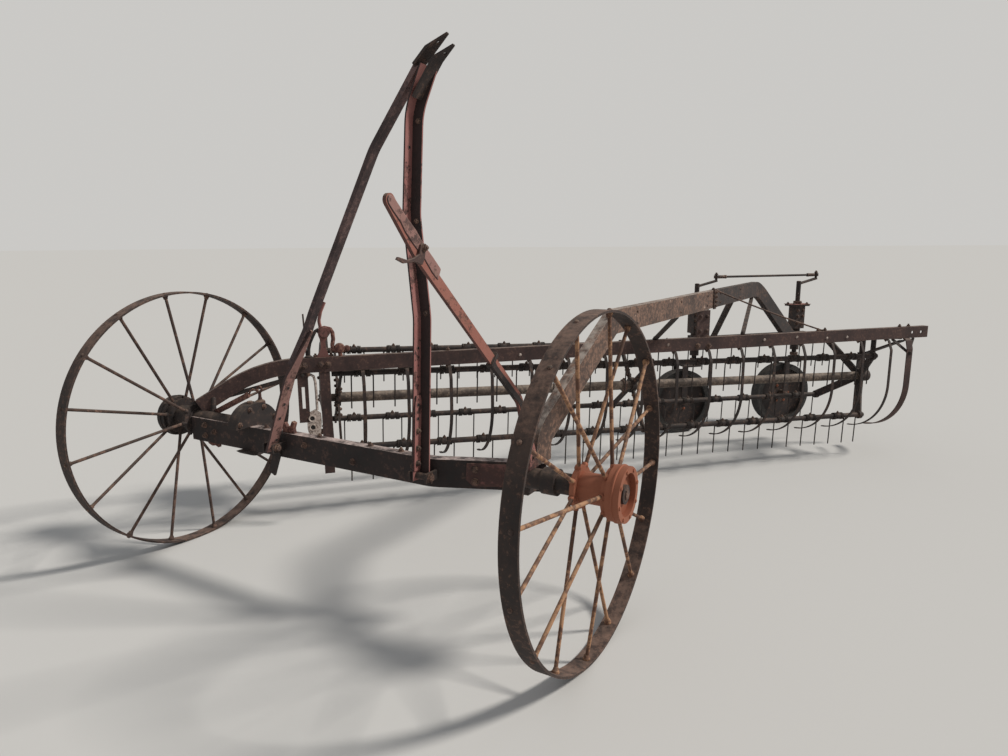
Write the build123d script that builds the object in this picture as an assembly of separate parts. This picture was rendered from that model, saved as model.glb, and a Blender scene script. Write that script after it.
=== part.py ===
from build123d import *
from math import cos, radians, sin, tan
import os

# Side delivery rake, millimetres. Travel is along -Y, the machine's left is +X, +Z is up.
# The working frame has its zero on the ground under the middle of the main axle; every
# finished piece is moved by SHIFT so the model's zero is the bottom centre of its box.

# Wheels and axle
TRACK = 2310.0
HALF_TRACK = TRACK / 2
WHEEL_DIAMETER = 1320.0
AXLE_HEIGHT = WHEEL_DIAMETER / 2
RIM_WIDTH = 67.0
RIM_THICKNESS = 9.0
SPOKE_COUNT = 16
SPOKE_TURN_LEFT = 4.4
SPOKE_TURN_RIGHT = -4.0
SPOKE_DIAMETER = 15.0
SPOKE_SPREAD = 62.0
HUB_BARREL_RADIUS = 58.0
HUB_FLANGE_RADIUS = 92.0
HUB_INNER_FLANGE_RADIUS = 82.0
HUB_FLANGE_THICKNESS = 18.0
HUB_INNER_LENGTH = 76.0
HUB_OUTER_LENGTH = 112.0
HUB_CAP_RADIUS = 104.0
HUB_CAP_LENGTH = 54.0
HUB_CAP_STAND = 14.0
HUB_CAP_BORE = 80.0
HUB_CAP_DEPTH = 24.0
HUB_GAP = 4.0
STUB_AXLE_RADIUS = 24.0
RUNNING_CLEARANCE = 0.05
SEAT_GAP = 0.3

# Slanted rake beam: position of its line in plan and its shape
BEAM_START_X = -HALF_TRACK + 120.0
BEAM_ANGLE = 42.56
BEAM_HEIGHT = 80.0
BEAM_FLANGE = 42.0
BEAM_WALL = 8.0
BEAM_TOP = AXLE_HEIGHT + 295.0
BEAM_MID = BEAM_TOP - BEAM_HEIGHT / 2
BEAM_FOOT_S = -18.0
BEAM_FOOT_RISE = 68.0
BEAM_BEND_S = 300.0
BEAM_BEND_RADIUS = 700.0
BEAM_END_S = 4850.0
BEAM_P = -17.0

# Reel
REEL_P = -335.0
REEL_Z_FRONT = AXLE_HEIGHT - 5.0
REEL_S_FRONT = 800.0
REEL_SLOPE = 1.6
REEL_RADIUS = 320.0
REEL_BAR_COUNT = 4
REEL_TOP_BAR_ANGLE = 126.8
REEL_TUBE_RADIUS = 30.0
REEL_TUBE_WALL = 5.0
REEL_STUB_RADIUS = 23.0
TINE_BAR_RADIUS = 17.0
TINE_RADIUS = 4.0
TINE_REACH = 205.0
TINE_CLAMP_RADIUS = 23.0
TINE_CLAMP_LENGTH = 26.0
CRANK_OFFSET = 150.0
CRANK_DIRECTION = 135.0
CRANK_X = CRANK_OFFSET * cos(radians(CRANK_DIRECTION))
CRANK_Z = CRANK_OFFSET * sin(radians(CRANK_DIRECTION))
STRIPPER_FIRST_S = 823.0
STRIPPER_PITCH = 245.0
STRIPPER_COUNT = 16
SPIDER_FRONT_S = 706.0
SPIDER_MIDDLE_S = 2660.0
SPIDER_REAR_S = 4450.0
SPIDER_REAR_HUB_S = 4596.0

Y_AXIS = Vector(0, 1, 0)
Z_AXIS = Vector(0, 0, 1)

BEAM_U = Vector(sin(radians(BEAM_ANGLE)), cos(radians(BEAM_ANGLE)), 0)
BEAM_N = Vector(cos(radians(BEAM_ANGLE)), -sin(radians(BEAM_ANGLE)), 0)
BEAM_ORIGIN = Vector(BEAM_START_X, 0, 0)


def beam_point(s, p, z):
    return BEAM_ORIGIN + BEAM_U * s + BEAM_N * p + Z_AXIS * z


REEL_U = Vector(
    BEAM_U.X * cos(radians(REEL_SLOPE)),
    BEAM_U.Y * cos(radians(REEL_SLOPE)),
    -sin(radians(REEL_SLOPE)),
)
REEL_PLANE = Plane(
    origin=beam_point(0, REEL_P, REEL_Z_FRONT + REEL_S_FRONT * tan(radians(REEL_SLOPE))),
    x_dir=BEAM_N,
    z_dir=BEAM_N.cross(REEL_U),
)

parts = {}


def keep(name, *solids):
    flat = []
    for item in solids:
        flat.extend(item.solids())
    parts[name] = flat


def fuse_all(items):
    body = items[0]
    for item in items[1:]:
        body = body + item
    return body


def rod(a, b, radius):
    a, b = Vector(a), Vector(b)
    plane = Plane(origin=a, z_dir=(b - a).normalized())
    return extrude(plane * Circle(radius), amount=(b - a).length)


def tube(a, b, outer, inner):
    a, b = Vector(a), Vector(b)
    plane = Plane(origin=a, z_dir=(b - a).normalized())
    return extrude(plane * (Circle(outer) - Circle(inner)), amount=(b - a).length)


def flat(a, b, width, thickness, wide_dir):
    a, b = Vector(a), Vector(b)
    along = (b - a).normalized()
    wide = Vector(wide_dir)
    wide = (wide - along * wide.dot(along)).normalized()
    plane = Plane(origin=a, x_dir=wide, z_dir=along)
    return extrude(plane * Rectangle(width, thickness), amount=(b - a).length)


def swept(section, points, radius, x_dir):
    points = [Vector(q) for q in points]
    if len(points) == 2:
        path = Line(points[0], points[1])
    else:
        path = FilletPolyline(*points, radius=radius)
    plane = Plane(origin=path @ 0, x_dir=x_dir, z_dir=path % 0)
    return sweep(plane * section, path=path)


def channel_section(depth, flange, wall, web_side):
    # Local x is across the web, local y along the web's height
    outer = Rectangle(flange, depth)
    hollow = Pos(web_side * wall, 0) * Rectangle(flange, depth - 2 * wall)
    return outer - hollow


# Main wheels
SPOKE_ROOT_RADIUS = HUB_BARREL_RADIUS - 6.0
SPOKE_TIP_RADIUS = AXLE_HEIGHT - RIM_THICKNESS + 3.0
SPOKE_TIP_SHARE = 0.12


def wheel(side, tag, turn):
    # side is +1 for the machine's left, -1 for its right; outboard is side * X
    centre = Vector(side * HALF_TRACK, 0, AXLE_HEIGHT)
    outward = Vector(side, 0, 0)
    rim = tube(
        centre - outward * RIM_WIDTH / 2,
        centre + outward * RIM_WIDTH / 2,
        WHEEL_DIAMETER / 2,
        WHEEL_DIAMETER / 2 - RIM_THICKNESS,
    )
    hub = rod(centre - outward * HUB_INNER_LENGTH, centre + outward * HUB_OUTER_LENGTH, HUB_BARREL_RADIUS)
    for offset, flange_radius in ((-SPOKE_SPREAD, HUB_INNER_FLANGE_RADIUS), (SPOKE_SPREAD, HUB_FLANGE_RADIUS)):
        hub = hub + rod(
            centre + outward * (offset - HUB_FLANGE_THICKNESS / 2),
            centre + outward * (offset + HUB_FLANGE_THICKNESS / 2),
            flange_radius,
        )
    cap_end = HUB_OUTER_LENGTH + HUB_CAP_STAND
    hub = hub + rod(centre + outward * (cap_end - HUB_CAP_LENGTH), centre + outward * cap_end, HUB_CAP_RADIUS)
    hub = hub - rod(centre + outward * (cap_end - HUB_CAP_DEPTH), centre + outward * (cap_end + 1), HUB_CAP_BORE)
    hub = hub - rod(
        centre - outward * (HUB_INNER_LENGTH + 1),
        centre + outward * (cap_end + 1),
        STUB_AXLE_RADIUS + RUNNING_CLEARANCE,
    )
    spokes = []
    for index in range(SPOKE_COUNT):
        angle = radians(360.0 / SPOKE_COUNT * (index + 0.5) + turn)
        radial = Vector(0, cos(angle), sin(angle))
        offset = SPOKE_SPREAD if index % 2 else -SPOKE_SPREAD
        root = centre + outward * offset + radial * SPOKE_ROOT_RADIUS
        tip = centre + outward * (offset * SPOKE_TIP_SHARE) + radial * SPOKE_TIP_RADIUS
        spokes.append(rod(root, tip, SPOKE_DIAMETER / 2))
    keep("rim_" + tag, rim)
    keep("hub_" + tag, hub)
    keep("spokes_" + tag, *[spoke - hub - rim for spoke in spokes])


wheel(1, "left", SPOKE_TURN_LEFT)
wheel(-1, "right", SPOKE_TURN_RIGHT)

# Front channel and axle housings
FRONT_HEIGHT = 120.0
FRONT_FLANGE = 50.0
FRONT_WALL = 9.0
FRONT_CENTRE_Z = AXLE_HEIGHT - 38.0
FRONT_TOP = FRONT_CENTRE_Z + FRONT_HEIGHT / 2
FRONT_CENTRE_Y = -25.0
FRONT_FACE_Y = FRONT_CENTRE_Y - FRONT_FLANGE / 2
FRONT_RIGHT_X = -HALF_TRACK + HUB_INNER_LENGTH + 6.0
FRONT_BEND_X = HALF_TRACK - 715.0
FRONT_LEFT_X = HALF_TRACK - 275.0
FRONT_LEFT_Y = 148.0
FRONT_BEND_RADIUS = 120.0
AXLE_HOUSING_RADIUS = 41.0
AXLE_COLLAR_RADIUS = 52.0
AXLE_INNER_X = HALF_TRACK - 315.0
AXLE_COLLAR_START_X = HALF_TRACK - 210.0
AXLE_COLLAR_END_X = HALF_TRACK - 150.0
AXLE_SEAT_LENGTH = 34.0
AXLE_SEAT_HEIGHT = 76.0
AXLE_SEAT_END_Y = 125.0
RIGHT_HOUSING_RADIUS = 47.0
GEAR_CASE_START_X = -HALF_TRACK + 225.0
GEAR_CASE_STEP_X = -HALF_TRACK + 455.0
GEAR_CASE_END_X = -HALF_TRACK + 522.0
GEAR_CASE_RADIUS = 132.0
GEAR_CASE_SMALL_RADIUS = 47.0
AXLE_NUT_RADIUS = 36.0
AXLE_NUT_LENGTH = 12.0

front_path = FilletPolyline(
    Vector(FRONT_RIGHT_X, FRONT_CENTRE_Y, FRONT_CENTRE_Z),
    Vector(FRONT_BEND_X, FRONT_CENTRE_Y, FRONT_CENTRE_Z),
    Vector(FRONT_LEFT_X, FRONT_LEFT_Y, FRONT_CENTRE_Z),
    radius=FRONT_BEND_RADIUS,
)
# The section's x runs along +Y so the web is on the front face
front_plane = Plane(origin=front_path @ 0, x_dir=Y_AXIS, z_dir=front_path % 0)
front_raw = sweep(front_plane * channel_section(FRONT_HEIGHT, FRONT_FLANGE, FRONT_WALL, 1), path=front_path)


def on_axle(x0, x1, radius):
    return rod((x0, 0, AXLE_HEIGHT), (x1, 0, AXLE_HEIGHT), radius)


hub_face_x = HALF_TRACK - HUB_INNER_LENGTH - HUB_GAP
STUB_INSET = 8.0
stub_end_x = HALF_TRACK + HUB_OUTER_LENGTH + HUB_CAP_STAND - STUB_INSET
nut_start_x = stub_end_x - AXLE_NUT_LENGTH
axle_left = on_axle(AXLE_INNER_X, hub_face_x, AXLE_HOUSING_RADIUS)
axle_left = axle_left + on_axle(AXLE_COLLAR_START_X, AXLE_COLLAR_END_X, AXLE_COLLAR_RADIUS)
axle_left = axle_left + on_axle(hub_face_x - 60.0, stub_end_x, STUB_AXLE_RADIUS)
axle_left = axle_left + on_axle(nut_start_x, stub_end_x, AXLE_NUT_RADIUS)
# A cast arm carries the housing on the channel's slanted end
axle_seat = Box(AXLE_SEAT_LENGTH, AXLE_SEAT_END_Y, AXLE_SEAT_HEIGHT)
axle_seat = Pos(AXLE_INNER_X + AXLE_SEAT_LENGTH / 2, AXLE_SEAT_END_Y / 2, FRONT_CENTRE_Z) * axle_seat
axle_left = max((axle_left + axle_seat - front_raw).solids(), key=lambda solid: solid.volume)
axle_right = on_axle(-hub_face_x, GEAR_CASE_START_X - SEAT_GAP, RIGHT_HOUSING_RADIUS)
axle_right = axle_right + on_axle(-hub_face_x + 60.0, -stub_end_x, STUB_AXLE_RADIUS)
axle_right = axle_right + on_axle(-nut_start_x, -stub_end_x, AXLE_NUT_RADIUS)
front_channel = front_raw - on_axle(AXLE_INNER_X - 5, hub_face_x, AXLE_HOUSING_RADIUS + SEAT_GAP)
front_channel = front_channel - on_axle(-hub_face_x - 9, GEAR_CASE_START_X + 5, RIGHT_HOUSING_RADIUS + SEAT_GAP)
keep("front_channel", front_channel)
keep("axle_left", axle_left)
keep("axle_right", axle_right)

# Gear case round the axle behind the front channel, by the right wheel
gear_case = on_axle(GEAR_CASE_START_X, GEAR_CASE_STEP_X + 1, GEAR_CASE_SMALL_RADIUS)
gear_case = gear_case + on_axle(GEAR_CASE_STEP_X, GEAR_CASE_END_X, GEAR_CASE_RADIUS)
CHANNEL_ROOM = 250.0
channel_room = Box(3 * TRACK, CHANNEL_ROOM, FRONT_HEIGHT + 2 * SEAT_GAP)
channel_room = Pos(0, SEAT_GAP - CHANNEL_ROOM / 2, FRONT_CENTRE_Z) * channel_room
gear_case = gear_case - channel_room
keep("gear_case", gear_case)

# Main rake beam: rises from the right hub, then runs level to the rear left
beam_section = channel_section(BEAM_HEIGHT, BEAM_FLANGE, BEAM_WALL, -1)
beam_points = [
    beam_point(BEAM_FOOT_S, BEAM_P, AXLE_HEIGHT + BEAM_FOOT_RISE),
    beam_point(BEAM_BEND_S, BEAM_P, BEAM_MID),
    beam_point(BEAM_END_S, BEAM_P, BEAM_MID),
]
main_beam = swept(beam_section, beam_points, BEAM_BEND_RADIUS, BEAM_N)
BEAM_HOLE_RADIUS = 11.0
BEAM_HOLE_INSET = 60.0
BEAM_HOLE_PITCH = 80.0
for hole_s in (BEAM_END_S - BEAM_HOLE_INSET, BEAM_END_S - BEAM_HOLE_INSET - BEAM_HOLE_PITCH):
    hole = rod(beam_point(hole_s, -60.0, BEAM_MID), beam_point(hole_s, 60.0, BEAM_MID), BEAM_HOLE_RADIUS)
    main_beam = main_beam - hole
main_beam = main_beam - on_axle(-hub_face_x - 20, GEAR_CASE_START_X, RIGHT_HOUSING_RADIUS + SEAT_GAP)
main_beam = main_beam - front_raw
keep("main_beam", main_beam)
BEAM_REAR_P = BEAM_P - BEAM_FLANGE / 2
BEAM_FRONT_P = BEAM_P + BEAM_FLANGE / 2

# Strippers: flat iron bows hung from the beam in front of the reel
END_STRIPPER_S = 4664.0
END_STRIPPER_WIDTH = 50.0
STRIPPER_WIDTH = 18.0
STRIPPER_THICKNESS = 7.0
STRIPPER_CORNER = 22.0
STRIPPER_TAB_P = BEAM_REAR_P + 6.0
STRIPPER_TAB_END_P = BEAM_FRONT_P
STRIPPER_TAB_DROP = BEAM_HEIGHT + SEAT_GAP + STRIPPER_THICKNESS / 2
END_STRIPPER_TAB_P = BEAM_REAR_P + 30.0
END_STRIPPER_TAB_END_P = BEAM_FRONT_P + 12.0
STRIPPER_OUT_P = 36.0
STRIPPER_OUT_DROP = 155.0
STRIPPER_SWEEP = 84.0
STRIPPER_BOW = STRIPPER_OUT_P - REEL_P


def stripper(s, width, tab_p, tab_end_p):
    # From a tab under the beam down in front of the reel, then round under it on a circle about its shaft
    centre_z = REEL_Z_FRONT + (REEL_S_FRONT - s) * tan(radians(REEL_SLOPE))
    top = [
        beam_point(s, tab_p, BEAM_TOP - STRIPPER_TAB_DROP),
        beam_point(s, tab_end_p, BEAM_TOP - STRIPPER_TAB_DROP),
        beam_point(s, STRIPPER_OUT_P, BEAM_TOP - STRIPPER_OUT_DROP),
        beam_point(s, STRIPPER_OUT_P, centre_z),
    ]

    def on_bow(degrees):
        angle = radians(degrees)
        return beam_point(s, REEL_P + STRIPPER_BOW * cos(angle), centre_z - STRIPPER_BOW * sin(angle))

    hanger = FilletPolyline(*top, radius=STRIPPER_CORNER)
    bow = ThreePointArc(on_bow(0), on_bow(STRIPPER_SWEEP / 2), on_bow(STRIPPER_SWEEP))
    path = Wire([*hanger.edges(), *bow.edges()])
    plane = Plane(origin=path @ 0, x_dir=BEAM_U, z_dir=path % 0)
    return sweep(plane * Rectangle(width, STRIPPER_THICKNESS), path=path)


strippers = [
    stripper(STRIPPER_FIRST_S + STRIPPER_PITCH * k, STRIPPER_WIDTH, STRIPPER_TAB_P, STRIPPER_TAB_END_P)
    for k in range(STRIPPER_COUNT)
]
half = STRIPPER_COUNT // 2
keep("strippers_front", *strippers[:half])
keep("strippers_rear", *strippers[half:])
keep("end_stripper", stripper(END_STRIPPER_S, END_STRIPPER_WIDTH, END_STRIPPER_TAB_P, END_STRIPPER_TAB_END_P))


# Reel, drawn in its own frame: x towards the front, y along the reel, z up
def in_reel(shape):
    return REEL_PLANE.location * shape


def reel_rod(x, z, y0, y1, radius):
    return Pos(x, (y0 + y1) / 2, z) * Rot(90, 0, 0) * Cylinder(radius, y1 - y0)


BAR_START = 655.0
BAR_END = 4482.0
SPIDER_THICKNESS = 12.0
SPIDER_ARM_WIDTH = 36.0
REAR_ARM_WIDTH = 56.0
SPIDER_HUB_RADIUS = 52.0
SPIDER_BOSS_RADIUS = 29.0
STUB_FRONT_S = 618.0
STUB_REAR_S = 4668.0
tube_body = reel_rod(0, 0, SPIDER_FRONT_S, SPIDER_REAR_HUB_S, REEL_TUBE_RADIUS)
stub_front = reel_rod(0, 0, STUB_FRONT_S, SPIDER_FRONT_S + 1, REEL_STUB_RADIUS)
stub_rear = reel_rod(0, 0, SPIDER_REAR_HUB_S - 1, STUB_REAR_S, REEL_STUB_RADIUS)
bore = reel_rod(0, 0, SPIDER_FRONT_S + 20, SPIDER_REAR_HUB_S - 20, REEL_TUBE_RADIUS - REEL_TUBE_WALL)
keep("reel_tube", in_reel((tube_body - bore) + stub_front + stub_rear))

bar_angles = [REEL_TOP_BAR_ANGLE - 360.0 / REEL_BAR_COUNT * k for k in range(REEL_BAR_COUNT)]
bar_spots = [(REEL_RADIUS * cos(radians(a)), REEL_RADIUS * sin(radians(a))) for a in bar_angles]


def spider(off_x, off_z, y_mid, hub_outer, hub_inner, boss_outer, boss_inner, thickness, arm_width):
    body = reel_rod(off_x, off_z, y_mid - thickness / 2 - 8, y_mid + thickness / 2 + 8, hub_outer)
    for angle, (x, z) in zip(bar_angles, bar_spots):
        arm = Box(REEL_RADIUS, thickness, arm_width)
        body = body + Pos(x / 2 + off_x, y_mid, z / 2 + off_z) * Rot(0, -angle, 0) * arm
        body = body + reel_rod(x + off_x, z + off_z, y_mid - thickness / 2, y_mid + thickness / 2, boss_outer)
    for x, z in bar_spots:
        body = body - reel_rod(x + off_x, z + off_z, y_mid - thickness, y_mid + thickness, boss_inner)
    return body - reel_rod(off_x, off_z, y_mid - 3 * thickness, y_mid + 3 * thickness, hub_inner)


BAR_BORE = TINE_BAR_RADIUS + RUNNING_CLEARANCE
spiders = [
    spider(0, 0, s, SPIDER_HUB_RADIUS, REEL_TUBE_RADIUS, SPIDER_BOSS_RADIUS, BAR_BORE, SPIDER_THICKNESS, SPIDER_ARM_WIDTH)
    for s in (SPIDER_FRONT_S, SPIDER_MIDDLE_S)
]
# The rear spider is dished: its bosses sit forward of its hub
dished = reel_rod(0, 0, SPIDER_REAR_HUB_S - 16, SPIDER_REAR_HUB_S + 10, SPIDER_HUB_RADIUS)
for x, z in bar_spots:
    start = Vector(x * 0.1, SPIDER_REAR_HUB_S - 6, z * 0.1)
    finish = Vector(x * 0.97, SPIDER_REAR_S, z * 0.97)
    dished = dished + flat(start, finish, REAR_ARM_WIDTH, SPIDER_THICKNESS, Vector(-z, 0, x))
    dished = dished + reel_rod(x, z, SPIDER_REAR_S - 12, SPIDER_REAR_S + 12, SPIDER_BOSS_RADIUS)
for x, z in bar_spots:
    dished = dished - reel_rod(x, z, SPIDER_REAR_S - 40, SPIDER_REAR_S + 40, BAR_BORE)
dished = dished - reel_rod(0, 0, SPIDER_REAR_S, STUB_REAR_S, REEL_TUBE_RADIUS)
spiders.append(dished)
keep("reel_spiders", *[in_reel(item) for item in spiders])

# Eccentric: fixed disc with the shaft bearing off its centre, and the crank spider round it
DISC_RADIUS = 188.0
DISC_FRONT_S = 612.0
DISC_REAR_S = 648.0
CRANK_SPIDER_S = 630.0
CRANK_SPIDER_RIM = 26.0
CRANK_SPIDER_THICKNESS = 14.0
CRANK_SPIDER_ARM = 30.0
PIN_RADIUS = 9.0
PIN_BOSS_RADIUS = 22.0
disc = reel_rod(CRANK_X, CRANK_Z, DISC_FRONT_S, DISC_REAR_S, DISC_RADIUS)
disc = disc - reel_rod(0, 0, DISC_FRONT_S - 5, DISC_REAR_S + 5, REEL_STUB_RADIUS + RUNNING_CLEARANCE)
keep("eccentric_disc", in_reel(disc))
crank_spider = spider(
    CRANK_X,
    CRANK_Z,
    CRANK_SPIDER_S,
    DISC_RADIUS + CRANK_SPIDER_RIM,
    DISC_RADIUS + RUNNING_CLEARANCE,
    PIN_BOSS_RADIUS,
    PIN_RADIUS + RUNNING_CLEARANCE,
    CRANK_SPIDER_THICKNESS,
    CRANK_SPIDER_ARM,
)
keep("crank_spider", in_reel(crank_spider))

# Tine bars with their cranks and tine clamps, and the tines that hang from them
CRANK_START = 655.0
CRANK_END = 667.0
CRANK_WIDTH = 34.0
CRANK_KNOB_RADIUS = 20.0
PIN_START = CRANK_SPIDER_S - 9.0
LAST_TINE_S = 4437.0
tine_stations = []
for k in range(STRIPPER_COUNT - 1):
    for side in (-1, 1):
        tine_stations.append(STRIPPER_FIRST_S + STRIPPER_PITCH * k + side * STRIPPER_PITCH / 4)
tine_stations.append(LAST_TINE_S - 16.0)
for number, (x, z) in enumerate(bar_spots, start=1):
    bar = reel_rod(x, z, BAR_START, BAR_END, TINE_BAR_RADIUS)
    crank_mid = (CRANK_START + CRANK_END) / 2
    arm = Box(CRANK_OFFSET, CRANK_END - CRANK_START, CRANK_WIDTH)
    arm = Pos(x + CRANK_X / 2, crank_mid, z + CRANK_Z / 2) * Rot(0, -CRANK_DIRECTION, 0) * arm
    pin = reel_rod(x + CRANK_X, z + CRANK_Z, PIN_START, CRANK_END, PIN_RADIUS)
    knob = reel_rod(x + CRANK_X, z + CRANK_Z, CRANK_START, CRANK_END, CRANK_KNOB_RADIUS)
    bar = bar + arm + pin + knob
    for k in range(STRIPPER_COUNT - 1):
        clamp_s = STRIPPER_FIRST_S + STRIPPER_PITCH * k
        bar = bar + reel_rod(x, z, clamp_s - TINE_CLAMP_LENGTH / 2, clamp_s + TINE_CLAMP_LENGTH / 2, TINE_CLAMP_RADIUS)
    keep("tine_bar_%d" % number, in_reel(bar))
    tines = []
    leg_length = TINE_REACH - TINE_BAR_RADIUS - SEAT_GAP
    for leg_y in tine_stations:
        leg = Cylinder(TINE_RADIUS, leg_length)
        tines.append(in_reel(Pos(x, leg_y, z - TINE_REACH + leg_length / 2) * leg))
    keep("tines_%d" % number, *tines)

# Hangers that carry the reel from the beam
HANGER_S = 620.0
HANGER_WIDTH = 54.0
HANGER_THICKNESS = 12.0
HANGER_P = BEAM_REAR_P + BEAM_WALL + 24.0
HANGER_TOP = BEAM_TOP - BEAM_HEIGHT - SEAT_GAP
HANGER_FOOT_Z = 300.0
FRONT_ARM_S = 606.0
FRONT_ARM_WIDTH = 70.0
FRONT_ARM_THICKNESS = 11.0
hanger_plate = flat(
    beam_point(HANGER_S, HANGER_P, HANGER_TOP),
    beam_point(HANGER_S, HANGER_P, HANGER_FOOT_Z),
    HANGER_WIDTH,
    HANGER_THICKNESS,
    BEAM_U,
)
front_arm_z = REEL_PLANE.from_local_coords((0, FRONT_ARM_S, 0)).Z
front_arm = flat(
    beam_point(FRONT_ARM_S, HANGER_P, front_arm_z),
    beam_point(FRONT_ARM_S, REEL_P - 60.0, front_arm_z),
    FRONT_ARM_WIDTH,
    FRONT_ARM_THICKNESS,
    Z_AXIS,
)
keep("reel_hanger_front", hanger_plate + front_arm - in_reel(disc))

# Slotted strap under the beam ahead of the hanger
STRAP_S = 502.0
STRAP_WIDTH = 56.0
STRAP_THICKNESS = 8.0
STRAP_FOOT_Z = FRONT_TOP - 82.0
STRAP_SLOT_WIDTH = 16.0
STRAP_SLOT_LENGTH = 120.0
strap_top = beam_point(STRAP_S, HANGER_P, HANGER_TOP)
strap_foot = beam_point(STRAP_S, HANGER_P, STRAP_FOOT_Z)
front_strap = flat(strap_top, strap_foot, STRAP_WIDTH, STRAP_THICKNESS, BEAM_U)
slot_mid = (strap_top + strap_foot) * 0.5
slot = flat(
    slot_mid - Z_AXIS * STRAP_SLOT_LENGTH / 2,
    slot_mid + Z_AXIS * STRAP_SLOT_LENGTH / 2,
    STRAP_SLOT_WIDTH,
    STRAP_THICKNESS + 10,
    BEAM_U,
)
keep("slotted_strap", front_strap - slot)

REAR_STRAP_S = 4648.0
REAR_STRAP_WIDTH = 70.0
REAR_STRAP_THICKNESS = 12.0
REAR_STRAP_P = REEL_P - 40.0
REAR_STRAP_TOP = 720.0
REAR_STRAP_FOOT = 225.0
REAR_BOSS_RADIUS = 44.0
REAR_BOSS_START_S = 4618.0
REAR_BOSS_END_S = 4672.0
rear_strap = flat(
    beam_point(REAR_STRAP_S, REAR_STRAP_P, REAR_STRAP_FOOT),
    beam_point(REAR_STRAP_S, REAR_STRAP_P, REAR_STRAP_TOP),
    REAR_STRAP_WIDTH,
    REAR_STRAP_THICKNESS,
    BEAM_U,
)
rear_arm = flat(
    beam_point(REAR_STRAP_S, REAR_STRAP_P, REAR_STRAP_TOP - 20.0),
    beam_point(REAR_STRAP_S, BEAM_REAR_P + 14.0, BEAM_TOP - BEAM_HEIGHT - 22.0),
    REAR_STRAP_WIDTH - 18.0,
    REAR_STRAP_THICKNESS,
    BEAM_U,
)
rear_boss = in_reel(reel_rod(0, 0, REAR_BOSS_START_S, REAR_BOSS_END_S, REAR_BOSS_RADIUS))
rear_hole = in_reel(reel_rod(0, 0, REAR_BOSS_START_S - 30, STUB_REAR_S + 2, REEL_STUB_RADIUS + RUNNING_CLEARANCE))
BEAM_ROOM_LENGTH = 600.0
beam_room = Box(BEAM_FLANGE + 2 * SEAT_GAP, BEAM_ROOM_LENGTH, BEAM_HEIGHT + 2 * SEAT_GAP)
beam_frame = Plane(origin=beam_point(REAR_STRAP_S, BEAM_P, BEAM_MID), x_dir=BEAM_N, z_dir=Z_AXIS)
keep("reel_hanger_rear", rear_strap + rear_arm + rear_boss - rear_hole - beam_frame.location * beam_room)

# Arch from the front channel over the rake beam to the caster beam, spliced halfway
ARCH_FOOT_INSET = 303.0
ARCH_FOOT_X = HALF_TRACK - ARCH_FOOT_INSET
ARCH_FOOT_Y = 138.0
ARCH_HEAD_INSET = 130.0
ARCH_HEAD_X = HALF_TRACK - ARCH_HEAD_INSET
ARCH_HEAD_Y = 3600.0
ARCH_FOOT = Vector(ARCH_FOOT_X, ARCH_FOOT_Y, 0)
ARCH_HEAD = Vector(ARCH_HEAD_X, ARCH_HEAD_Y, 0)
arch_dir = (ARCH_HEAD - ARCH_FOOT).normalized()
arch_side = Vector(arch_dir.Y, -arch_dir.X, 0)
ARCH_HEIGHT = 115.0
ARCH_FLANGE = 45.0
ARCH_WALL = 9.0
ARCH_RISE = 231.0
ARCH_Z = BEAM_TOP + ARCH_RISE
ARCH_KNEE_RISE = 108.0
ARCH_SHOULDER = 680.0
ARCH_SPLICE = 2285.0
ARCH_VERTEX = 3560.0
ARCH_BEND_RADIUS = 90.0
ARCH_REAR_RADIUS = 200.0
arch_section = channel_section(ARCH_HEIGHT, ARCH_FLANGE, ARCH_WALL, -1)


def arch_point(along, z, side=0.0):
    return ARCH_FOOT + arch_dir * along + arch_side * side + Z_AXIS * z


arch_points = [
    arch_point(0, FRONT_TOP + SEAT_GAP),
    arch_point(0, FRONT_TOP + ARCH_KNEE_RISE),
    arch_point(ARCH_SHOULDER, ARCH_Z),
    arch_point(ARCH_SPLICE - 1, ARCH_Z),
]
keep("arch", swept(arch_section, arch_points, ARCH_BEND_RADIUS, arch_side))

# Caster beam behind the reel with two caster posts
CASTER_P = -1120.0
CASTER_FIRST_S = 3650.0
CASTER_SPACING = 1000.0
CASTER_BEAM_P = CASTER_P + 80.0
CASTER_BEAM_Z = AXLE_HEIGHT + 100.0
CASTER_BEAM_HEIGHT = 90.0
CASTER_BEAM_FLANGE = 45.0
CASTER_BEAM_WALL = 8.0
CASTER_BEAM_OVERHANG = 30.0
CASTER_SHAFT_RADIUS = 19.0
CASTER_POST_RADIUS = 36.0
POST_TOP = AXLE_HEIGHT + 370.0
POST_BOTTOM = AXLE_HEIGHT - 20.0
POST_BLOCK = 92.0
POST_BLOCK_TOP = AXLE_HEIGHT + 365.0
POST_BLOCK_FOOT = AXLE_HEIGHT + 165.0
POST_PLATE_WIDTH = 168.0
POST_PLATE_DEPTH = 110.0
POST_PLATE_THICKNESS = 14.0
caster_s = [CASTER_FIRST_S + CASTER_SPACING * k for k in range(2)]
beam_ends = (caster_s[0] - CASTER_BEAM_OVERHANG, caster_s[1] + CASTER_BEAM_OVERHANG)
caster_beam = swept(
    channel_section(CASTER_BEAM_HEIGHT, CASTER_BEAM_FLANGE, CASTER_BEAM_WALL, -1),
    [beam_point(s, CASTER_BEAM_P, CASTER_BEAM_Z) for s in beam_ends],
    10.0,
    BEAM_N,
)
shaft_hole_radius = CASTER_SHAFT_RADIUS + RUNNING_CLEARANCE
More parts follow.
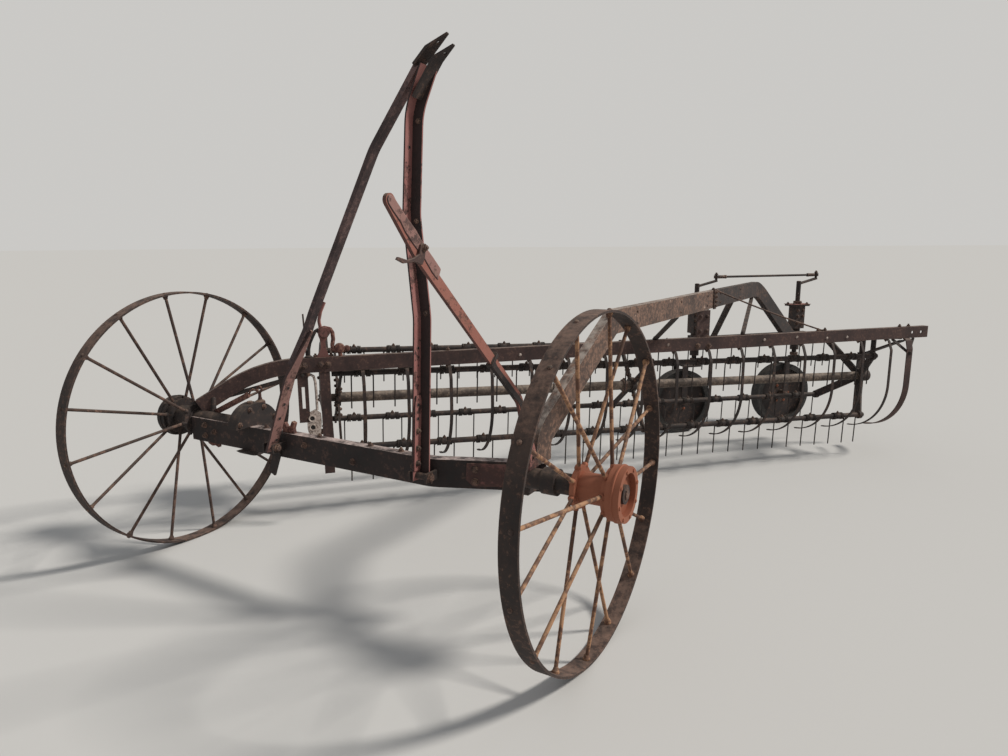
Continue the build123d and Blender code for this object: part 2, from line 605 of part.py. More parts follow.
for s in caster_s:
    post = rod(beam_point(s, CASTER_P, POST_BOTTOM), beam_point(s, CASTER_P, POST_TOP), CASTER_POST_RADIUS)
    block = flat(
        beam_point(s, CASTER_P, POST_BLOCK_FOOT),
        beam_point(s, CASTER_P, POST_BLOCK_TOP),
        POST_BLOCK,
        POST_BLOCK,
        BEAM_U,
    )
    lug = flat(
        beam_point(s, CASTER_P, CASTER_BEAM_Z - 40.0),
        beam_point(s, CASTER_P, CASTER_BEAM_Z + 40.0),
        60.0,
        2 * (CASTER_BEAM_P - CASTER_P) - CASTER_BEAM_FLANGE + 8.0,
        BEAM_U,
    )
    plate = flat(
        beam_point(s, CASTER_P, POST_TOP - POST_PLATE_THICKNESS),
        beam_point(s, CASTER_P, POST_TOP),
        POST_PLATE_WIDTH,
        POST_PLATE_DEPTH,
        BEAM_U,
    )
    caster_beam = caster_beam + post + block + lug + plate
for s in caster_s:
    hole = rod(beam_point(s, CASTER_P, POST_BOTTOM - 50), beam_point(s, CASTER_P, POST_TOP + 50), shaft_hole_radius)
    caster_beam = caster_beam - hole
keep("caster_beam", caster_beam)

# Rear half of the arch, bent down to the second caster post, and its brace to the first
LEG_INSET = 125.0
LEG_P = CASTER_BEAM_P + 10.0
LEG_Z = CASTER_BEAM_Z + CASTER_BEAM_HEIGHT / 2
leg_foot = beam_point(caster_s[1] - LEG_INSET, LEG_P, LEG_Z)
arch_rear = swept(
    arch_section,
    [arch_point(ARCH_SPLICE + 1, ARCH_Z), arch_point(ARCH_VERTEX, ARCH_Z), leg_foot - Z_AXIS * 50.0],
    ARCH_REAR_RADIUS,
    arch_side,
)
SPLICE_LENGTH = 46.0
SPLICE_THICKNESS = 8.0
splice_side = ARCH_FLANGE / 2 + SEAT_GAP + SPLICE_THICKNESS / 2
splice = flat(
    arch_point(ARCH_SPLICE, ARCH_Z - ARCH_HEIGHT / 2 - 8.0, splice_side),
    arch_point(ARCH_SPLICE, ARCH_Z + ARCH_HEIGHT / 2 + 8.0, splice_side),
    SPLICE_LENGTH,
    SPLICE_THICKNESS,
    arch_dir,
)
ROOM = 2 * TRACK
below_legs = Pos(0, 0, LEG_Z + SEAT_GAP - ROOM / 2) * Box(2 * ROOM, 4 * ROOM, ROOM)
under_arch = Pos(0, 0, ARCH_Z - ARCH_HEIGHT / 2 - SEAT_GAP + ROOM / 2) * Box(2 * ROOM, 4 * ROOM, ROOM)
keep("arch_rear", arch_rear - below_legs)
keep("arch_splice", splice)
BRACE_ALONG = 2900.0
BRACE_FOOT_S = 110.0
BRACE_WIDTH = 40.0
BRACE_THICKNESS = 24.0
brace = flat(
    arch_point(BRACE_ALONG, ARCH_Z, -5.0),
    beam_point(caster_s[0] + BRACE_FOOT_S, CASTER_BEAM_P, LEG_Z - 30.0),
    BRACE_WIDTH,
    BRACE_THICKNESS,
    BEAM_U,
)
keep("arch_brace", brace - under_arch - below_legs)

# Caster forks and wheels
FORK_Z = AXLE_HEIGHT - 100.0
FORK_WIDTH = 150.0
FORK_PLATE = 14.0
FORK_ROOM = 29.0
CASTER_WHEEL_RADIUS = (FORK_Z - FORK_PLATE / 2 - FORK_ROOM) / 2
CASTER_TYRE_DEPTH = 45.0
CASTER_TRAIL = 120.0
CASTER_WIDTH = 90.0
CASTER_AXLE_RADIUS = 12.0
CASTER_DISC_HALF = 10.0
CASTER_HUB_RADIUS = 30.0
CASTER_HUB_HALF = 58.0
CHEEK_OFFSET = 69.0
CHEEK_WIDTH = 50.0
CHEEK_THICKNESS = 10.0
SHAFT_TOP = AXLE_HEIGHT + 565.0
STEER_ARM_S = 190.0
STEER_ARM_P = -20.0
STEER_ARM_RISE = 40.0
STEER_ARM_WIDTH = 36.0
STEER_ARM_THICKNESS = 14.0
EYE_PIN_RADIUS = 10.0
EYE_RADIUS = 20.0
EYE_HEIGHT = 24.0
TIE_RADIUS = 9.0
TIE_Z = SHAFT_TOP + 52.0
for number, s in enumerate(caster_s, start=1):
    axle_s = s - CASTER_TRAIL
    shaft = rod(beam_point(s, CASTER_P, FORK_Z), beam_point(s, CASTER_P, SHAFT_TOP), CASTER_SHAFT_RADIUS)
    bridge = flat(
        beam_point(s + 24.0, CASTER_P, FORK_Z), beam_point(axle_s, CASTER_P, FORK_Z), FORK_WIDTH, FORK_PLATE, BEAM_N
    )
    fork = shaft + bridge
    for side in (-1, 1):
        fork = fork + flat(
            beam_point(axle_s, CASTER_P + side * CHEEK_OFFSET, FORK_Z + FORK_PLATE / 2 - 1),
            beam_point(axle_s, CASTER_P + side * CHEEK_OFFSET, CASTER_WHEEL_RADIUS - 40.0),
            CHEEK_WIDTH,
            CHEEK_THICKNESS,
            BEAM_U,
        )
    fork = fork + rod(
        beam_point(axle_s, CASTER_P - CHEEK_OFFSET - 5.0, CASTER_WHEEL_RADIUS),
        beam_point(axle_s, CASTER_P + CHEEK_OFFSET + 5.0, CASTER_WHEEL_RADIUS),
        CASTER_AXLE_RADIUS,
    )
    eye_at = beam_point(s + STEER_ARM_S, CASTER_P + STEER_ARM_P, SHAFT_TOP - 20.0 + STEER_ARM_RISE)
    fork = fork + flat(
        beam_point(s, CASTER_P, SHAFT_TOP - 20.0), eye_at, STEER_ARM_WIDTH, STEER_ARM_THICKNESS, BEAM_N
    )
    fork = fork + rod(eye_at - Z_AXIS * 8.0, Vector(eye_at.X, eye_at.Y, TIE_Z + EYE_HEIGHT / 2 + 4.0), EYE_PIN_RADIUS)
    keep("caster_fork_%d" % number, fork)
    disc_radius = CASTER_WHEEL_RADIUS - CASTER_TYRE_DEPTH
    # Rows: half width, outer radius, inner radius
    rings = (
        (CASTER_WIDTH / 2, CASTER_WHEEL_RADIUS, disc_radius),
        (CASTER_DISC_HALF, disc_radius, CASTER_AXLE_RADIUS + RUNNING_CLEARANCE),
        (CASTER_HUB_HALF, CASTER_HUB_RADIUS, CASTER_AXLE_RADIUS + RUNNING_CLEARANCE),
    )
    made = []
    for half_width, outer, inner in rings:
        near = beam_point(axle_s, CASTER_P - half_width, CASTER_WHEEL_RADIUS)
        far = beam_point(axle_s, CASTER_P + half_width, CASTER_WHEEL_RADIUS)
        made.append(tube(near, far, outer, inner))
    keep("caster_tyre_%d" % number, made[0])
    keep("caster_disc_%d" % number, made[1] + made[2])
tie_a = beam_point(caster_s[0] + STEER_ARM_S, CASTER_P + STEER_ARM_P, TIE_Z)
tie_b = beam_point(caster_s[1] + STEER_ARM_S, CASTER_P + STEER_ARM_P, TIE_Z)
tie = rod(tie_a, tie_b, TIE_RADIUS)
for end in (tie_a, tie_b):
    tie = tie + rod(end - Z_AXIS * EYE_HEIGHT / 2, end + Z_AXIS * EYE_HEIGHT / 2, EYE_RADIUS)
for end in (tie_a, tie_b):
    tie = tie - rod(end - Z_AXIS * 40, end + Z_AXIS * 40, EYE_PIN_RADIUS + RUNNING_CLEARANCE)
keep("tie_rod", tie)

# Folded-up drawbar on the front channel: a flat bar with a stiffening leg, an angle, and the jaw
DRAW_Y = FRONT_FACE_Y - 50.0
PIVOT_Z = FRONT_CENTRE_Z
PIVOT_RADIUS = 14.0
PIVOT_RIGHT_X = -HALF_TRACK + 725.0
PIVOT_LEFT_X = HALF_TRACK - 735.0
DRAW_LEAN = 0.07
DRAW_TAIL = 20.0
STRAP_A_DEPTH = 58.0
STRAP_A_THICKNESS = 12.0
BAR_A_DEPTH = 40.0
BAR_A_THICKNESS = 24.0
BAR_B_DEPTH = 52.0
BAR_B_THICKNESS = 7.0
BAR_B_LEG = 53.0
BAR_BEND_RADIUS = 300.0
JAW_DEPTH = 60.0
JAW_THICKNESS = 12.0
JAW_BEND_RADIUS = 60.0
JAW_HOLE_RADIUS = 8.0
JAW_HOLE_X = 74.0
JAW_HOLE_RISE = 1654.5
JAW_HOLE_AXIS_X = 0.58
JAW_HOLE_AXIS_RISE = -0.81
# Rows in these paths: sideways from that bar's pivot, height above the pivots
STRAP_A_PATH = ((-8.0, -DRAW_TAIL), (119.0, 336.0))
STRAP_A_TIP = (258.0, 558.0)
STRAP_A_TIP_DEPTH = 10.0
BAR_A_PATH = ((140.0, 400.0), (234.0, 558.0), (270.0, 640.0), (606.0, 1302.0), (826.0, 1597.0))
BAR_B_PATH = ((-12.0, -DRAW_TAIL), (-16.0, 640.0), (-74.0, 1040.0), (-68.0, 1440.0), (0.0, 1600.0))
JAW_UPPER_PATH = ((-32.0, 1596.0), (27.0, 1651.0))
JAW_UPPER_TIP = (106.0, 1697.0)
JAW_LOWER_PATH = ((-30.0, 1478.0), (8.0, 1536.0), (60.0, 1609.0))
JAW_LOWER_TIP = (134.0, 1652.0)
JAW_TIP_DEPTH = 12.0
JAW_TIP_THICKNESS = 6.0
draw_normal = Vector(0, 1, -DRAW_LEAN).normalized()


def drawbar_point(x, rise):
    return Vector(x, DRAW_Y + rise * DRAW_LEAN, PIVOT_Z + rise)


def drawbar_bar(section, pivot_x, path, radius):
    return swept(section, [drawbar_point(pivot_x + dx, rise) for dx, rise in path], radius, draw_normal)


def largest(shape):
    return max(shape.solids(), key=lambda solid: solid.volume)


def pointed(pivot_x, path, tip, radius, depth, thickness, tip_depth, tip_thickness):
    # A flat bar whose last stretch narrows to its tip
    root = drawbar_point(pivot_x + path[-1][0], path[-1][1])
    end = drawbar_point(pivot_x + tip[0], tip[1])
    along = (end - root).normalized()
    wide = Plane(origin=root - along, x_dir=draw_normal, z_dir=along) * Rectangle(depth, thickness)
    narrow = Plane(origin=end, x_dir=draw_normal, z_dir=along) * Rectangle(tip_depth, tip_thickness)
    return drawbar_bar(Rectangle(depth, thickness), pivot_x, path, radius) + loft([wide, narrow])


jaw_upper = pointed(
    PIVOT_LEFT_X, JAW_UPPER_PATH, JAW_UPPER_TIP, JAW_BEND_RADIUS,
    JAW_DEPTH, JAW_THICKNESS, JAW_TIP_DEPTH, JAW_TIP_THICKNESS,
)
jaw_lower = pointed(
    PIVOT_LEFT_X, JAW_LOWER_PATH, JAW_LOWER_TIP, JAW_BEND_RADIUS,
    JAW_DEPTH, JAW_THICKNESS, JAW_TIP_DEPTH, JAW_TIP_THICKNESS,
)
jaw_axis = Vector(JAW_HOLE_AXIS_X, JAW_HOLE_AXIS_RISE * DRAW_LEAN, JAW_HOLE_AXIS_RISE).normalized()
jaw_mid = drawbar_point(PIVOT_LEFT_X + JAW_HOLE_X, JAW_HOLE_RISE)
jaw_hole = rod(jaw_mid - jaw_axis * 90.0, jaw_mid + jaw_axis * 90.0, JAW_HOLE_RADIUS)
jaw_upper = jaw_upper - jaw_hole
jaw_lower = jaw_lower - jaw_hole

pivot_hole = rod(
    (PIVOT_RIGHT_X - 200.0, DRAW_Y, PIVOT_Z), (PIVOT_LEFT_X + 200.0, DRAW_Y, PIVOT_Z), PIVOT_RADIUS + RUNNING_CLEARANCE
)
bar_a = drawbar_bar(Rectangle(BAR_A_DEPTH, BAR_A_THICKNESS), PIVOT_RIGHT_X, BAR_A_PATH, BAR_BEND_RADIUS)
strap_a = pointed(
    PIVOT_RIGHT_X, STRAP_A_PATH, STRAP_A_TIP, BAR_BEND_RADIUS,
    STRAP_A_DEPTH, STRAP_A_THICKNESS, STRAP_A_TIP_DEPTH, STRAP_A_THICKNESS,
)
leg_b = Rectangle(BAR_B_THICKNESS, BAR_B_LEG)
leg_b = Pos((BAR_B_DEPTH - BAR_B_THICKNESS) / 2, (BAR_B_THICKNESS - BAR_B_LEG) / 2) * leg_b
bar_b = drawbar_bar(Rectangle(BAR_B_DEPTH, BAR_B_THICKNESS) + leg_b, PIVOT_LEFT_X, BAR_B_PATH, BAR_BEND_RADIUS)
bar_b = largest(bar_b - pivot_hole - jaw_lower - jaw_upper)
bar_a = largest(bar_a - jaw_upper - bar_b - strap_a)
keep("drawbar_bar_right", bar_a)
keep("drawbar_strap_right", largest(strap_a - pivot_hole))
keep("drawbar_bar_left", bar_b)
keep("drawbar_jaw", jaw_upper, jaw_lower)
EAR_THICKNESS = 10.0
EAR_HEIGHT = 40.0
EAR_TIP_Y = DRAW_Y - 26.0
RIGHT_EAR_SPREAD = 30.0
LEFT_EAR_SPREAD = 40.0
LEFT_EAR_SHIFT = 12.0
pivots = []
for x, spread in ((PIVOT_RIGHT_X, RIGHT_EAR_SPREAD), (PIVOT_LEFT_X + LEFT_EAR_SHIFT, LEFT_EAR_SPREAD)):
    bracket = rod((x - spread, DRAW_Y, PIVOT_Z), (x + spread, DRAW_Y, PIVOT_Z), PIVOT_RADIUS)
    for side in (-1, 1):
        ear = Box(EAR_THICKNESS, FRONT_FACE_Y - EAR_TIP_Y, EAR_HEIGHT)
        bracket = bracket + Pos(x + side * spread, (FRONT_FACE_Y + EAR_TIP_Y) / 2, PIVOT_Z) * ear
    pivots.append(bracket)
keep("drawbar_brackets", *pivots)

# Strap hanging below the right pivot
HANGING_STRAP_DROP = 150.0
HANGING_STRAP_WIDTH = 44.0
HANGING_STRAP_TOP_SHIFT = 12.0
HANGING_STRAP_GAP = 10.0
HANGING_STRAP_FOOT_SHIFT = 62.0
hanging_strap = flat(
    (PIVOT_RIGHT_X - HANGING_STRAP_TOP_SHIFT, FRONT_FACE_Y - 5.0, PIVOT_Z - EAR_HEIGHT / 2 - HANGING_STRAP_GAP),
    (PIVOT_RIGHT_X - HANGING_STRAP_FOOT_SHIFT, FRONT_FACE_Y - 5.0, PIVOT_Z - HANGING_STRAP_DROP),
    HANGING_STRAP_WIDTH,
    EAR_THICKNESS,
    Vector(1, 0, 0),
)
keep("hanging_strap", hanging_strap)

# Lift lever on the left axle housing
LEVER_X = HALF_TRACK - 270.0
LEVER_WIDTH = 36.0
LEVER_THICKNESS = 12.0
# Rows: y, height above the axle
LEVER_POINTS = ((0.0, 30.0), (-90.0, 325.0), (-690.0, 865.0), (-806.0, 1004.0))
lever_points = [Vector(LEVER_X, y, AXLE_HEIGHT + rise) for y, rise in LEVER_POINTS]
lever = swept(Rectangle(LEVER_THICKNESS, LEVER_WIDTH), lever_points, 120.0, Vector(1, 0, 0))
grip_end = lever_points[-1]
lever = lever + rod(
    grip_end - Vector(LEVER_THICKNESS / 2, 0, 0), grip_end + Vector(LEVER_THICKNESS / 2, 0, 0), LEVER_WIDTH / 2
)
keep("lift_lever", lever - on_axle(LEVER_X - 50, LEVER_X + 50, AXLE_HOUSING_RADIUS + SEAT_GAP))

# Shift lever over the gear case, and the bracket on the beam above the hanger
SHIFT_LEVER_WIDTH = 28.0
SHIFT_LEVER_THICKNESS = 9.0
SHIFT_FOOT_INSET = 162.0
SHIFT_TIP_INSET = 420.0
SHIFT_FOOT_RISE = 34.0
SHIFT_TIP_RISE = 154.0
shift_foot = Vector(-HALF_TRACK + SHIFT_FOOT_INSET, 30.0, AXLE_HEIGHT + SHIFT_FOOT_RISE)
shift_tip = Vector(-HALF_TRACK + SHIFT_TIP_INSET, 40.0, AXLE_HEIGHT + SHIFT_TIP_RISE)
shift_lever = flat(shift_foot, shift_tip, SHIFT_LEVER_WIDTH, SHIFT_LEVER_THICKNESS, Z_AXIS)
right_room = on_axle(-hub_face_x, GEAR_CASE_START_X, RIGHT_HOUSING_RADIUS + SEAT_GAP)
keep("shift_lever", shift_lever - gear_case - right_room)
BRACKET_S = 618.0
BRACKET_THICKNESS = 22.0
BRACKET_BOSS_RISE = 136.0
BRACKET_BOSS_RADIUS = 27.0
BRACKET_BOSS_LENGTH = 56.0
HOOK_RADIUS = 9.0
# Rows: along the beam from the bracket's middle, height above the beam
BRACKET_OUTLINE = (
    (-36.0, 0.0), (34.0, 0.0), (16.0, 42.0), (14.0, 84.0), (30.0, 112.0),
    (44.0, 132.0), (44.0, 160.0), (14.0, 168.0), (-18.0, 162.0), (-22.0, 118.0), (-10.0, 82.0), (-12.0, 44.0),
)
HOOK_POINTS = ((-6.0, 150.0), (-14.0, 196.0), (-2.0, 246.0), (20.0, 296.0))
bracket_plane = Plane(
    origin=beam_point(BRACKET_S, BEAM_P + BRACKET_THICKNESS / 2, BEAM_TOP + SEAT_GAP), x_dir=BEAM_U, z_dir=BEAM_N
)
bracket_face = bracket_plane * make_face(Polyline(*BRACKET_OUTLINE, close=True))
beam_bracket = extrude(bracket_face, amount=BRACKET_THICKNESS, dir=-BEAM_N)
boss_mid = beam_point(BRACKET_S + 12.0, BEAM_P, BEAM_TOP + BRACKET_BOSS_RISE)
beam_bracket = beam_bracket + rod(
    boss_mid - BEAM_N * BRACKET_BOSS_LENGTH / 2, boss_mid + BEAM_N * BRACKET_BOSS_LENGTH / 2, BRACKET_BOSS_RADIUS
)
hook_points = [beam_point(BRACKET_S + ds, BEAM_P, BEAM_TOP + rise) for ds, rise in HOOK_POINTS]
beam_bracket = beam_bracket + swept(Circle(HOOK_RADIUS), hook_points, 60.0, BEAM_N)
keep("beam_bracket", beam_bracket)

# Post between the beam and the arch
POST_PAST_CROSSING = 50.3
# Where the arch crosses over the beam, seen from above
foot_gap = ARCH_FOOT - BEAM_ORIGIN
crossing_s = (foot_gap.X * arch_dir.Y - foot_gap.Y * arch_dir.X) / (BEAM_U.X * arch_dir.Y - BEAM_U.Y * arch_dir.X)
POST_S = crossing_s + POST_PAST_CROSSING
POST_WIDTH = 90.0
POST_THICKNESS = 12.0
post_foot = beam_point(POST_S, BEAM_P, BEAM_TOP + SEAT_GAP)
post_head = beam_point(POST_S, BEAM_P, ARCH_Z - ARCH_HEIGHT / 2 - SEAT_GAP)
keep("arch_post", flat(post_foot, post_head, POST_WIDTH, POST_THICKNESS, BEAM_U))


# The model's zero is the bottom centre of the whole machine's box
boxes = [solid.bounding_box() for solids in parts.values() for solid in solids]
middle_x = (min(box.min.X for box in boxes) + max(box.max.X for box in boxes)) / 2
middle_y = (min(box.min.Y for box in boxes) + max(box.max.Y for box in boxes)) / 2
SHIFT = Vector(-middle_x, -middle_y, 0)


def write_parts():
    os.makedirs("parts", exist_ok=True)
    for name, solids in parts.items():
        moved = [Pos(SHIFT.X, SHIFT.Y, SHIFT.Z) * solid for solid in solids]
        shape = moved[0] if len(moved) == 1 else Compound(children=moved)
        shape.label = name
        export_step(shape, os.path.join("parts", name + ".step"))


write_parts()
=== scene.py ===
import logging
import math
from dataclasses import dataclass, field
from enum import Enum

import bmesh
import bpy
from mathutils import Matrix, Vector


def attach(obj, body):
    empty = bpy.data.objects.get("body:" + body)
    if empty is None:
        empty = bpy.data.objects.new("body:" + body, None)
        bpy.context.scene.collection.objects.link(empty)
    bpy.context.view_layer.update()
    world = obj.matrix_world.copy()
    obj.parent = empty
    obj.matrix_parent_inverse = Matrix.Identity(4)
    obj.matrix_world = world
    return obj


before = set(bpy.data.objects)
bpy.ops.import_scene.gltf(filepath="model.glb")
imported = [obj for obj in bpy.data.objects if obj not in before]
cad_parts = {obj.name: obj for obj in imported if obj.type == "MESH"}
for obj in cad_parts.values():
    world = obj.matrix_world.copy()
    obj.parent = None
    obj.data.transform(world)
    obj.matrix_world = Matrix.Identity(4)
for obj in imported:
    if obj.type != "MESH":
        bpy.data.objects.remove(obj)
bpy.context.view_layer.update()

LOG = logging.getLogger("rake")
UP = Vector((0, 0, 1))
LEFT = Vector((1, 0, 0))
SHARP_ANGLE = math.radians(35.0)

Colour = tuple[float, float, float]
Rows = tuple[tuple[float, float], ...]
Size = tuple[float, ...]
Socket = bpy.types.NodeSocket


class Body(Enum):
    """The moving bodies that pieces ride on."""

    FRAME = "frame"
    WHEEL_LEFT = "wheel_left"
    WHEEL_RIGHT = "wheel_right"
    REEL = "reel"
    TINE_BAR_1 = "tine_bar_body_1"
    TINE_BAR_2 = "tine_bar_body_2"
    TINE_BAR_3 = "tine_bar_body_3"
    TINE_BAR_4 = "tine_bar_body_4"
    DRAWBAR = "drawbar"
    TIE_ROD = "tie_rod_body"
    CASTER_ONE = "caster_one"
    CASTER_TWO = "caster_two"
    CASTER_WHEEL_ONE = "caster_wheel_one"
    CASTER_WHEEL_TWO = "caster_wheel_two"


class Effect(Enum):
    """The shader node groups that several finishes share."""

    WEATHER = "weathered_iron"
    FLAKE = "flaking_coat"
    EDGE = "edge_wear"
    DUST = "settled_dust"
    # Painted shade on the sides that face the front.
    PAINTED_SHADE_SIDE = "front_painted_shade"


@dataclass(frozen=True)
class Layout:
    """Main sizes of the rake, in metres, in the model's frame."""

    shift: tuple[float, float] = (-0.483651, -1.76602)
    half_track: float = 1.155
    axle_height: float = 0.66
    beam_start_x: float = -1.035
    beam_angle: float = math.radians(42.56)
    beam_top: float = 0.955
    beam_foot: float = 0.875
    reel_p: float = -0.335
    reel_z: float = 0.655
    reel_s: float = 0.8
    reel_slope: float = math.radians(1.6)
    arch_foot: tuple[float, float] = (0.852, 0.138)
    arch_along: tuple[float, float] = (0.049909, 0.998754)
    arch_z: float = 1.186
    draw_y: float = -0.1
    pivot_z: float = 0.622
    draw_lean: float = 0.07
    tie_reach: float = 0.19
    tie_p: float = -1.14
    tie_z: float = 1.277

    def at(self, x: float, y: float, z: float) -> Vector:
        """A point given from the middle of the main axle, in the model's frame."""
        return Vector((x + self.shift[0], y + self.shift[1], z))

    @property
    def along(self) -> Vector:
        """Direction of the rake beam, front right to rear left."""
        return Vector((math.sin(self.beam_angle), math.cos(self.beam_angle), 0.0))

    @property
    def ahead(self) -> Vector:
        """Level direction square to the beam, towards the front."""
        return Vector((math.cos(self.beam_angle), -math.sin(self.beam_angle), 0.0))

    @property
    def reel_along(self) -> Vector:
        """Direction of the reel's shaft, front to rear."""
        return self.along * math.cos(self.reel_slope) - UP * math.sin(self.reel_slope)

    @property
    def reel_up(self) -> Vector:
        """Direction square to the reel's shaft, upwards."""
        return self.ahead.cross(self.reel_along)

    @property
    def draw_back(self) -> Vector:
        """Direction square to the folded drawbar's plane, towards the rear."""
        return Vector((0.0, 1.0, -self.draw_lean)).normalized()

    def beam(self, s: float, p: float, z: float) -> Vector:
        """A point s along the beam, p in front of its line and z above the ground."""
        return self.at(self.beam_start_x, 0.0, z) + self.along * s + self.ahead * p

    def beam_line(self, p: float, rows: Rows) -> list[Vector]:
        """Points p in front of the beam's line, each by its place along it and its height."""
        return [self.beam(s, p, z) for s, z in rows]

    def reel(self, x: float, s: float, z: float) -> Vector:
        """A point x in front of the reel's shaft, s along it and z above it."""
        start = self.beam(0.0, self.reel_p, self.reel_z + self.reel_s * math.tan(self.reel_slope))
        return start + self.ahead * x + self.reel_along * s + self.reel_up * z

    def arch(self, along: float, side: float, z: float) -> Vector:
        """A point by its distance along the arch and to its left side."""
        dx, dy = self.arch_along
        return self.at(self.arch_foot[0] + dx * along + dy * side, self.arch_foot[1] + dy * along - dx * side, z)

    def tie_eye(self, s: float) -> Vector:
        """The tie rod's eye that belongs to the caster post at s."""
        return self.beam(s + self.tie_reach, self.tie_p, self.tie_z)

    def drawbar(self, x: float, rise: float) -> Vector:
        """A point in the folded drawbar's leaning plane."""
        return self.at(x, self.draw_y + rise * self.draw_lean, self.pivot_z + rise)


LAYOUT = Layout()


# Shader nodes

@dataclass
class NodeTree:
    """Adds nodes to the tree of a material, a group or the sky."""

    tree: bpy.types.NodeTree

    def feed(self, target: Socket, value: object) -> None:
        """Sets a socket to a number or colour, or links another socket to it.

        Args:
            target: The socket that is set.
            value: A number, a colour or direction of three numbers, or a socket.
        """
        if isinstance(value, Socket):
            self.tree.links.new(value, target)
        else:
            target.default_value = (*value, 1) if target.type == "RGBA" else value

    def add(self, kind: str, inputs: dict | None = None, **options: object) -> bpy.types.Node:
        """Adds a node.

        Args:
            kind: The node's type, without its first word.
            inputs: What each input gets, by its name or its place.
            options: The node's own settings.

        Returns:
            The node.
        """
        node = self.tree.nodes.new("ShaderNode" + kind)
        for name, value in options.items():
            setattr(node, name, value)
        for name, value in (inputs or {}).items():
            self.feed(node.inputs[name], value)
        return node

    def noise(self, vector: Socket, scale: object, octaves: float = 6.0, rough: float = 0.6) -> Socket:
        """Adds a noise texture with a number of octaves and the strength of its fine ones."""
        inputs = {"Vector": vector, "Scale": scale, "Detail": octaves, "Roughness": rough}
        return self.add("TexNoise", inputs).outputs["Fac"]

    def math(self, kind: str, a: object, b: object, clamp: bool = False) -> Socket:
        """Adds a math node of two numbers or sockets, kept within 0 to 1 where it is clamped."""
        return self.add("Math", {0: a, 1: b}, operation=kind, use_clamp=clamp).outputs[0]

    def add_up(self, a: object, b: object, clamp: bool = False) -> Socket:
        """The sum of two numbers or sockets."""
        return self.math("ADD", a, b, clamp)

    def times(self, a: object, b: object, clamp: bool = False) -> Socket:
        """The product of two numbers or sockets."""
        return self.math("MULTIPLY", a, b, clamp)

    def dot(self, a: Socket, b: Socket) -> Socket:
        """How far two directions agree, 1 where they are the same."""
        return self.add("VectorMath", {0: a, 1: b}, operation="DOT_PRODUCT").outputs["Value"]

    def step(self, value: object, low: object, high: object) -> Socket:
        """Maps a value smoothly from 0 at low to 1 at high."""
        inputs = {"Value": value, "From Min": low, "From Max": high}
        return self.add("MapRange", inputs, interpolation_type="SMOOTHSTEP").outputs["Result"]

    def mix(self, amount: object, a: object, b: object) -> Socket:
        """Mixes colour a with colour b by an amount from 0 to 1."""
        return self.add("Mix", {0: amount, 6: a, 7: b}, data_type="RGBA").outputs[2]


@dataclass
class EffectGroup(NodeTree):
    """A shader node group with named inputs and outputs."""

    inlet: bpy.types.bpy_prop_collection
    outlet: bpy.types.bpy_prop_collection

    @classmethod
    def new(cls, effect: Effect, inputs: dict[str, object], outputs: tuple[str, ...]) -> "EffectGroup":
        """Makes an empty group.

        Args:
            effect: Which effect it is.
            inputs: Each input's start value; the place, which has none, comes before them.
            outputs: Each output's name; Color is a colour, the others are numbers.

        Returns:
            The group.
        """
        tree = bpy.data.node_groups.new(effect.value, "ShaderNodeTree")
        tree.interface.new_socket(name="Vector", in_out="INPUT", socket_type="NodeSocketVector")
        for name, value in inputs.items():
            kind = "Float" if isinstance(value, float) else "Color" if len(value) == 4 else "Vector"
            made = tree.interface.new_socket(name=name, in_out="INPUT", socket_type="NodeSocket" + kind)
            made.default_value = value
        for name in outputs:
            kind = "Color" if name == "Color" else "Float"
            tree.interface.new_socket(name=name, in_out="OUTPUT", socket_type="NodeSocket" + kind)
        inlet, outlet = tree.nodes.new("NodeGroupInput"), tree.nodes.new("NodeGroupOutput")
        return cls(tree, inlet.outputs, outlet.inputs)


def build_weather_group() -> bpy.types.NodeTree:
    """Iron that has weathered outdoors: blotches, streaks and a pitted skin.

    Returns:
        The node group.
    """
    colours = {"Dark": (0.05, 0.03, 0.025, 1), "Middle": (0.12, 0.07, 0.05, 1), "Light": (0.3, 0.16, 0.09, 1)}
    g = EffectGroup.new(Effect.WEATHER, {"Scale": 6.0, **colours, "Spread": 0.5}, ("Color", "Roughness", "Height"))
    vector, scale = g.inlet["Vector"], g.inlet["Scale"]
    broad = g.noise(vector, scale, 8.0, 0.65)
    fine = g.noise(vector, g.times(scale, 9.0), 6.0, 0.7)
    grit = g.noise(vector, g.times(scale, 40.0), 3.0, 0.6)
    pits = g.add("TexVoronoi", {"Vector": vector, "Scale": g.times(scale, 22.0)}, feature="F1").outputs["Distance"]
    middle = g.step(g.add_up(g.times(broad, 0.62), g.times(fine, 0.38)), 0.36, 0.56)
    lift = g.times(g.inlet["Spread"], -0.22)
    light = g.step(g.add_up(fine, g.times(broad, 0.5)), g.add_up(lift, 0.84), g.add_up(lift, 0.98))
    colour = g.mix(middle, g.inlet["Dark"], g.inlet["Middle"])
    colour = g.mix(light, colour, g.inlet["Light"])
    speck = g.times(g.step(grit, 0.62, 0.72), 0.4)
    g.feed(g.outlet["Color"], g.mix(speck, colour, g.inlet["Dark"]))
    g.feed(g.outlet["Roughness"], g.add_up(0.62, g.times(fine, 0.34), clamp=True))
    height = g.add_up(g.times(fine, 0.5), g.times(grit, 0.22))
    g.feed(g.outlet["Height"], g.add_up(height, g.times(g.step(pits, 0.0, 0.35), 0.35)))
    return g.tree


